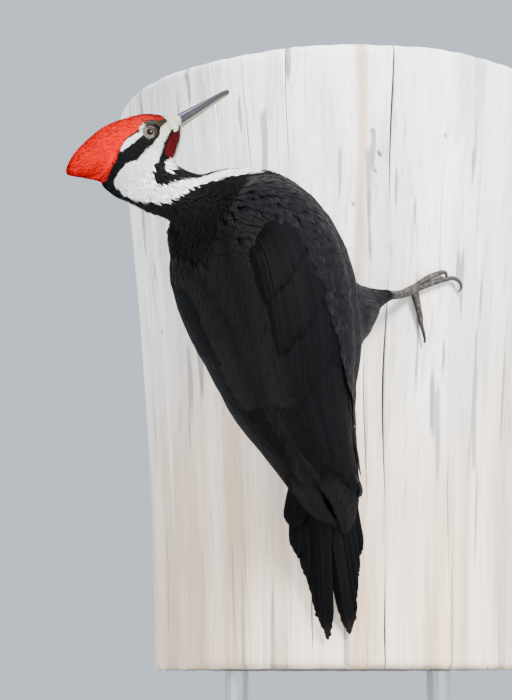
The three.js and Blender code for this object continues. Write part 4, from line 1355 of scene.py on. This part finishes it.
def bill_half(name, upper):
    """Closed loops: a gabled arch with a ridge on each flank over a flat gape."""
    rows = spline(BILL, np.linspace(0, 6, BILL_ROWS))
    f, top, gape, bottom, half = rows.T[:, :, None]
    turn = np.linspace(0, np.pi, ARCH_SIDES)[None]
    side, rise = np.cos(turn), np.sin(turn)
    flank = 0.30 if upper else 0.16
    ridge = flank * sum(np.exp(-((turn - at) / 0.10) ** 2) for at in (0.82, np.pi - 0.82)) * (f < 60)
    gable = 1 - 0.16 * np.sin(2 * turn) ** 2
    w = np.sign(side) * np.abs(side) ** 0.9 * half * gable * (1 + ridge * 0.4)
    way = 1 if upper else -1
    height = (top - gape if upper else gape - bottom) - GAPE_GAP
    arch = in_head(f, gape + way * GAPE_GAP + way * height * rise ** 0.92 * gable, w)
    flat = in_head(f, gape + way * GAPE_GAP, half * np.linspace(-0.9, 0.9, GAPE_SIDES)[None])
    rings = capped(np.concatenate([arch, flat], 1))
    place = np.concatenate([turn[0] / np.pi, np.linspace(1, 0, GAPE_SIDES)])
    maps = {"horn": np.stack(np.meshgrid(place, np.linspace(0, 1, len(rings))), -1)}
    return make_mesh(name, rings, quads(len(rings), len(place), ring=True), maps, weld=0.003)


def horn_finish(name, upper):
    """Slate horn: dark ridge and tip, pale along the flank (on the upper half a painted highlight, on the
    lower half the horn's own paler colour), and fine lengthwise growth lines.
    """
    finish = Finish(name, Specular_IOR_Level=0.14, Coat_Weight=0.04, Coat_Roughness=0.3)
    turn, along = finish.own_map("horn")
    flank = abs(turn - 0.5)
    lines = finish.noise(finish.pair(turn * 60.0, along * 4.0), roughness=0.6)
    stain = finish.noise(finish.place((160, 160, 160)))
    # On the upper half the pale streak along each flank is a painted highlight; on the lower half the pale
    # base is the horn's own colour.
    if upper:
        streak = flank.between(0.20, 0.25) * (1 - flank.between(0.28, 0.36))
        dark, pale_horn_and_highlight = (0.014, 0.0155, 0.021), (0.15, 0.163, 0.20)
        pale = streak * (1 - along.between(0.25, 0.6))
    else:
        dark, pale_horn_and_highlight = (0.022, 0.022, 0.024), (0.21, 0.19, 0.14)
        pale = (1 - flank.between(0.22, 0.34)) * (1 - along.between(0.5, 0.9))
    base = finish.blend(dark, pale_horn_and_highlight, pale * (0.75 + lines * 0.3))
    base = finish.blend(base, (0.013, 0.013, 0.015), along.between(0.78, 0.95) * 0.85)
    finish.drive(Base_Color=finish.blend(base, (0.10, 0.09, 0.075), stain.between(0.52, 0.75) * 0.3),
                 Roughness=0.42 + lines * 0.16)
    finish.relief(lines, 0.00012)
    return finish


show("upper_bill", bill_half("upper_bill", True), horn_finish("upper_horn", True), ("bill_upper",))
show("lower_bill", bill_half("lower_bill", False), horn_finish("lower_horn", False), ("bill_lower",))


# ---- Nostril tufts ------------------------------------------------------------------------
# Cream bristles that point forward from the face and hide where the bill leaves it.

def tuft_ring(f, turn, lift):
    """Points round the snout: the face's ring before 17 mm, the bill's after 22, mixed between."""
    face_rows, bill_rows = spline(HEAD, np.linspace(0, 9, 200)), spline(BILL, np.linspace(0, 6, 90))
    middle, half, above, below = (np.interp(f, face_rows[:, 0], face_rows[:, n]) for n in range(1, 5))
    top, bottom, wide = (np.interp(f, bill_rows[:, 0], bill_rows[:, n]) for n in (1, 3, 4))
    mix = np.clip((f - 16.5) / 5.5, 0, 1) ** 0.8
    centre = middle * (1 - mix) + (top + bottom) / 2 * mix
    tall = np.where(np.sin(turn) > 0, above, below) * (1 - mix) + (top - bottom) / 2 * mix + lift
    return in_head(f, centre + tall * np.sin(turn), (half * (1 - mix) + wide * mix + lift) * np.cos(turn))


many, rows = 800, 7
way, half_turn = np.array([1, -1]).repeat(many // 2), np.array([0, 180]).repeat(many // 2)
turn = np.radians(rng.uniform(-24, 62, many) * way + half_turn)[:, None]
start, length = rng.uniform(11, 17.5, (many, 1)), rng.uniform(3.5, 6, (many, 1))
share = np.linspace(0, 1, rows)
f = start + length * share
drift = turn + rng.normal(0, 0.07, (many, 1)) * share
lift = rng.uniform(0, 0.3, (many, 1)) * share - 0.5 * (1 - share)
spine = tuft_ring(f, drift, lift)
across = unit(tuft_ring(f, drift + 0.05, lift) - spine)
width = 0.42 * (1 - share ** 2.5)
points = spine[:, :, None] + across[:, :, None] * (width[:, None] * np.array([-1, 0, 1]))[None, :, :, None]
points[:, :, 1] += 0.1 * unit(spine - in_head(f, -5.0))
tints = np.broadcast_to(CREAM * rng.uniform(0.7, 1.0, (many, 1, 1, 1)), points.shape)
tuft_mesh = make_mesh("nostril_tufts", points, quads(rows, 3, count=many), vane_maps(spine[:, 0], rows, 3),
                      {"tint": tints})
show("nostril_tufts", tuft_mesh, soft_plumage)


# ---- Eyes ---------------------------------------------------------------------------------
# Glass eyes with a black pupil and a dull pinkish-brown iris with a dark edge, sunk behind a ring
# of bare grey lid skin with fine wrinkles.

EYE = (-5.5, -4.3, 12.5)
EYE_RADIUS = 5.4
EYE_SIDES, LID_SIDES = 96, 144
# Colour bands of the eye: degrees from its outward axis, then red, green and blue.
IRIS = np.array([
    (0, 0.003, 0.003, 0.004), (19, 0.003, 0.003, 0.004), (21, 0.022, 0.013, 0.008),
    (27, 0.035, 0.021, 0.013), (30, 0.13, 0.09, 0.068), (34, 0.19, 0.142, 0.114), (38, 0.12, 0.09, 0.073),
    (40.5, 0.02, 0.016, 0.014), (42.5, 0.008, 0.007, 0.007), (180, 0.008, 0.007, 0.007)])
# Outline of the lid's rim: distance from the eye's axis and height along it.
LID = np.array([[3.45, 3.7], [3.72, 4.08], [3.95, 4.3], [4.3, 4.32], [4.7, 4.05], [5.1, 3.5], [5.5, 2.6],
                [5.3, 1.6], [4.2, 1.4], [3.3, 2.2]])
LID_GREY = np.array([0.058, 0.047, 0.040])


def eye_axes(side):
    """Centre of an eye, its outward axis, and two directions across it."""
    centre = in_head(EYE[0], EYE[1], side * EYE[2])
    axis = unit(sideward * side + forward * 0.04)
    across = unit(np.cross(upward, axis))
    return centre, axis, across, np.cross(axis, across)


def eye_mesh(name, side):
    """A ball in rings round its outward axis, with its colours by the angle from that axis."""
    centre, axis, across, over = eye_axes(side)
    polar = np.concatenate([np.linspace(0, 50, 101), np.linspace(54, 180, 22)])
    turned = np.linspace(0, 2 * np.pi, EYE_SIDES, endpoint=False)
    p, t = np.meshgrid(np.radians(polar), turned, indexing="ij")
    bulge = EYE_RADIUS + 0.25 * np.exp(-(p / 0.45) ** 2)
    points = centre + axis * (bulge * np.cos(p))[..., None] \
        + (across * np.cos(t)[..., None] + over * np.sin(t)[..., None]) * (bulge * np.sin(p))[..., None]
    fibre = 0.8 + 0.3 * (0.5 + 0.5 * np.sin(t * 31 + 2 * np.sin(t * 5)) * np.sin(t * 17 + 1.0))
    tint = np.stack([np.interp(np.degrees(p), IRIS[:, 0], band) for band in IRIS[:, 1:].T], -1)
    return make_mesh(name, points, quads(len(polar), EYE_SIDES, ring=True), None,
                     {"tint": tint * fibre[..., None]}, weld=0.002)


def lid_mesh(name, side):
    """A rolled rim round the eye: from under the ball's edge, over a crest, down into the feathers."""
    centre, axis, across, over = eye_axes(side)
    fine = spline(np.vstack([LID, LID[:1]]), np.linspace(0, len(LID), 50))[:-1]
    turned = np.linspace(0, 2 * np.pi, LID_SIDES, endpoint=False)[:, None]
    reach, height = fine.T[:, None]
    wrinkle = 0.09 * np.sin(turned * 26 + 2.2 * np.sin(turned * 3) + height) + 0.06 * np.sin(turned * 9 + 1)
    on_top = np.clip((height - 2.4) / 1.5, 0, 1) * np.clip((reach - 3.2) / 0.6, 0, 1)
    height = height + wrinkle * on_top
    points = centre + axis * height[..., None] + across * (reach * 1.05 * np.cos(turned))[..., None] \
        + over * (reach * 0.96 * np.sin(turned))[..., None]
    rim = np.exp(-((reach - 4.1) / 0.28) ** 2) * (height > 3)
    # Painted light and shade: the lid is darkest where it tucks under the ball and into the feathers, and
    # lighter on the crests of its wrinkles than between them. Its rolled rim is paler.
    shade = (0.55 + 0.3 * np.clip(wrinkle / 0.15, -1, 1)) * on_top + 0.9 * rim
    tint = LID_GREY * (0.25 + shade)[..., None]
    points, tint = (np.concatenate([part, part[:1]]) for part in (points, tint))
    faces = quads(len(points), len(fine), ring=True)
    return make_mesh(name, points, faces, None, {"tint": tint}, weld=0.002)


wet_eye = Finish("glass_eye", Roughness=0.3, Specular_IOR_Level=0.04, Coat_Weight=0.2, Coat_Roughness=0.03)
wet_eye.drive(Base_Color=wet_eye.attribute("tint"))
lid_skin = Finish("lid_skin", Roughness=0.55)
lid_skin.drive(Base_Color=lid_skin.attribute("tint"))
lid_skin.relief(lid_skin.noise(lid_skin.place((1500, 1500, 1500)), detail=3), 0.0001)
for side_name, side in (("right", 1), ("left", -1)):
    show(f"eyeball_{side_name}", eye_mesh("eyeball", side), wet_eye, (f"eye_{side_name}",))
    show(f"eyelid_{side_name}", lid_mesh("eyelid", side), lid_skin)


# ---- Feet ---------------------------------------------------------------------------------
# Short shanks and four toes each, two forward and up, two to the side and down, in grey-brown skin
# with overlapping plates along the top and soft pads under each joint.

# Degrees round the pole, height, and height over the wood: of the foot's middle, and of each toe's
# root, joint and end.  A claw's point has no height over the wood.
FEET = {
    "right": {"foot": (19.2, 349.5, 4.5),
              "inner": [(19.4, 351, 4), (23.2, 358.6, 3.4), (27.4, 363.6, 2.4), (28.5, 358.5)],
              "middle": [(20, 350, 4.2), (25, 355.5, 4.2), (30.0, 359.6, 2.8), (33.0, 350.4)],
              "outer": [(19, 347, 4.2), (20.5, 335, 3.6), (21.6, 324, 2.8), (22.6, 312.5)],
              "hind": [(19.8, 347, 3.4), (20.6, 340, 2.8), (21.2, 334, 2.2), (21.8, 327)]},
    "left": {"foot": (-34, 314, 4.5),
             "inner": [(-33.6, 316, 4), (-32.4, 327, 3.4), (-31.4, 336, 2.6), (-30.6, 348)],
             "middle": [(-34.4, 316, 4.2), (-36.4, 330, 4), (-37.6, 342, 2.8), (-38.6, 355)],
             "outer": [(-35, 313.5, 4.2), (-36.6, 308.4, 3.6), (-37.4, 302, 2.6), (-37.8, 292)],
             "hind": [(-34, 311, 3.6), (-34.4, 304, 3), (-34.8, 299, 2.2), (-35.2, 290)]}}
TOES = ("inner", "middle", "outer", "hind")
SKIN_GREY, GROOVE_AND_SHADE_DARK = np.array([0.022, 0.0185, 0.016]), np.array([0.006, 0.005, 0.0042])


def off_wood(azimuth, z, lift):
    """Points off the pole: degrees round it from the front, height, and height over the wood."""
    reach = pole_radius(z) + lift
    return np.stack([reach * np.sin(np.radians(azimuth)), -reach * np.cos(np.radians(azimuth)), z], -1)


def limb(path, radii, plates, sides=28, rows=120):
    """Rings of a tapering tube, and a darkness for each point: how deep it lies in a groove between plates,
    with painted shade added in the dips of the grain and along the under side, which faces the wood.
    Overlapping plates are saw-toothed along its top, rounded pads lie along its under side, and fine grain
    runs on the flanks.  Top is the side away from the pole's middle."""
    centre = spline(path, np.linspace(0, len(path) - 1, rows))
    along = unit(np.gradient(centre, axis=0))
    away = unit(centre * [1, 1, 0])
    top = unit(away - (away * along).sum(-1, keepdims=True) * along)
    side = np.cross(along, top)
    share = np.linspace(0, 1, rows)[:, None]
    radius = np.interp(share, np.linspace(0, 1, len(radii)), radii)
    turned = np.linspace(0, 2 * np.pi, sides, endpoint=False)[None]
    facing = np.cos(turned)
    step = (share * plates) % 1
    scale = np.clip(facing + 0.15, 0, 1) ** 0.5 * (0.10 * step ** 0.8 - 0.16 * np.exp(-(step / 0.10) ** 2))
    pad = np.clip(-facing, 0, 1) * (0.16 * np.abs(np.sin(np.pi * share * plates * 0.36)) ** 0.7 - 0.05)
    grain = 0.03 * np.sin(turned * 9 + share * plates * 8) * np.sin(share * plates * 11 + turned * 3)
    reach = radius * (1 + scale + pad + grain)
    points = centre[:, None] + top[:, None] * (reach * facing)[..., None] \
        + side[:, None] * (reach * np.sin(turned))[..., None]
    between_plates = np.exp(-(step / 0.14) ** 2) * np.clip(facing + 0.3, 0, 1)
    # Painted shade: the dips of the grain and the under side, towards the wood, are darkened like grooves.
    groove = np.clip(between_plates - grain * 4 + np.clip(-facing, 0, 1) * 0.35, 0, 1)
    return capped(points), np.concatenate([groove[:1], groove, groove[-1:]])


def foot_mesh(name, side):
    """Shank and toes of one foot joined as one mesh; the shank bends at a knuckle half way."""
    leg = FEET[side]
    ankle = THIGHS[side][-1, :3]
    foot = off_wood(*leg["foot"])
    heel = THIGHS[side][-2, :3] * 0.5 + ankle * 0.5
    knuckle = (ankle + foot) / 2 - [0, 0, 1.5]
    tubes = [limb(np.array([heel, ankle, knuckle, foot]), [3.5, 3.3, 3.0, 3.5], 11, rows=110)]
    for toe in TOES:
        slim, plates = (0.78, 6) if toe == "hind" else (1, 9)
        path = np.array([off_wood(*at) for at in leg[toe][:3]])
        path = np.vstack([foot * 0.6 + path[:1] * 0.4, path])
        tubes.append(limb(path, np.array([2.8, 2.4, 2.05, 1.6]) * slim, plates))
    groove = np.concatenate([groove.ravel() for _, groove in tubes])[:, None]
    # The joints between plates and the painted shade darken the skin.
    tint = SKIN_GREY * (1 - groove) + GROOVE_AND_SHADE_DARK * groove
    return make_mesh(name, *joined([rings for rings, _ in tubes]), None, {"tint": tint}, weld=0.002)


foot_skin = Finish("foot_skin", Roughness=0.6, Specular_IOR_Level=0.25)
blotch = foot_skin.noise(foot_skin.place((260, 260, 260)), detail=5, roughness=0.65)
foot_skin.drive(Base_Color=foot_skin.blend(foot_skin.attribute("tint"), (0.10, 0.088, 0.078),
                                           blotch.between(0.50, 0.64) * 0.6))
foot_skin.relief(blotch, 0.00015)
for side in ("right", "left"):
    toes = [f"toe_{toe}_{side}" for toe in TOES]
    show(f"foot_{side}", foot_mesh("foot", side), foot_skin, (f"tarsus_{side}", *toes))


# ---- Claws --------------------------------------------------------------------------------
# Strongly hooked claws, deeper than wide, nearly black with a paler root, their points set in the wood.

CLAW_ROWS, CLAW_SIDES = 60, 20
CLAW_ROOT, CLAW_BLACK = np.array([0.018, 0.016, 0.014]), np.array([0.006, 0.006, 0.0065])


def claw_mesh(name, path):
    """A hook along a Bezier curve that leaves the toe the way the toe points, arches up off the wood
    and turns back into it; its radius falls as the 0.6th power of the way left to its point."""
    *_, end, claw = path
    start, point = off_wood(*end), off_wood(*claw, 0.3)
    ahead, away = unit(start - off_wood(*path[1])), unit(start * [1, 1, 0])
    back = start - ahead * 1.2
    hook = np.linalg.norm(point - start) * 0.62
    s = np.linspace(0, 1, CLAW_ROWS)[:, None]
    over, turned_in = start + ahead * hook + away * 1.4, point + ahead * hook * 0.6 + away * hook * 0.75
    first_half = back * (1 - s) ** 3 + over * 3 * s * (1 - s) ** 2
    centre = first_half + turned_in * 3 * s ** 2 * (1 - s) + point * s ** 3
    along = unit(np.gradient(centre, axis=0))
    plane = unit(np.cross(over - start, point - start))
    top = np.cross(along, plane)
    turned = np.linspace(0, 2 * np.pi, CLAW_SIDES, endpoint=False)[None]
    radius = 1.65 * (1 - s) ** 0.6 + 0.12
    groove = 1 - 0.12 * np.exp(-((np.abs(np.sin(turned)) - 1) / 0.15) ** 2) * (1 - s)
    points = centre[:, None] + top[:, None] * (radius * np.cos(turned))[..., None] \
        + plane * (radius * 0.85 * groove * np.sin(turned))[..., None]
    rings = capped(points)
    tint = (CLAW_ROOT * (1 - s) ** 1.5 + CLAW_BLACK)[:, None]
    tint = np.broadcast_to(np.concatenate([tint[:1], tint, tint[-1:]]), rings.shape)
    return make_mesh(name, rings, quads(len(rings), CLAW_SIDES, ring=True), None, {"tint": tint}, weld=0.002)


claw_horn = Finish("claw_horn", Roughness=0.36, Specular_IOR_Level=0.3,
                   Coat_Weight=0.12, Coat_Roughness=0.25)
striae = claw_horn.noise(claw_horn.place((900, 900, 900)), detail=3)
claw_horn.drive(Base_Color=claw_horn.blend(claw_horn.attribute("tint"), (0.06, 0.055, 0.05),
                                           striae.between(0.5, 0.85) * 0.2))
claw_horn.relief(striae, 0.00006)
for side in ("right", "left"):
    for toe in TOES:
        talon = claw_mesh("talon", FEET[side][toe])
        show(f"talon_{toe}_{side}", talon, claw_horn, (f"claw_{toe}_{side}",))
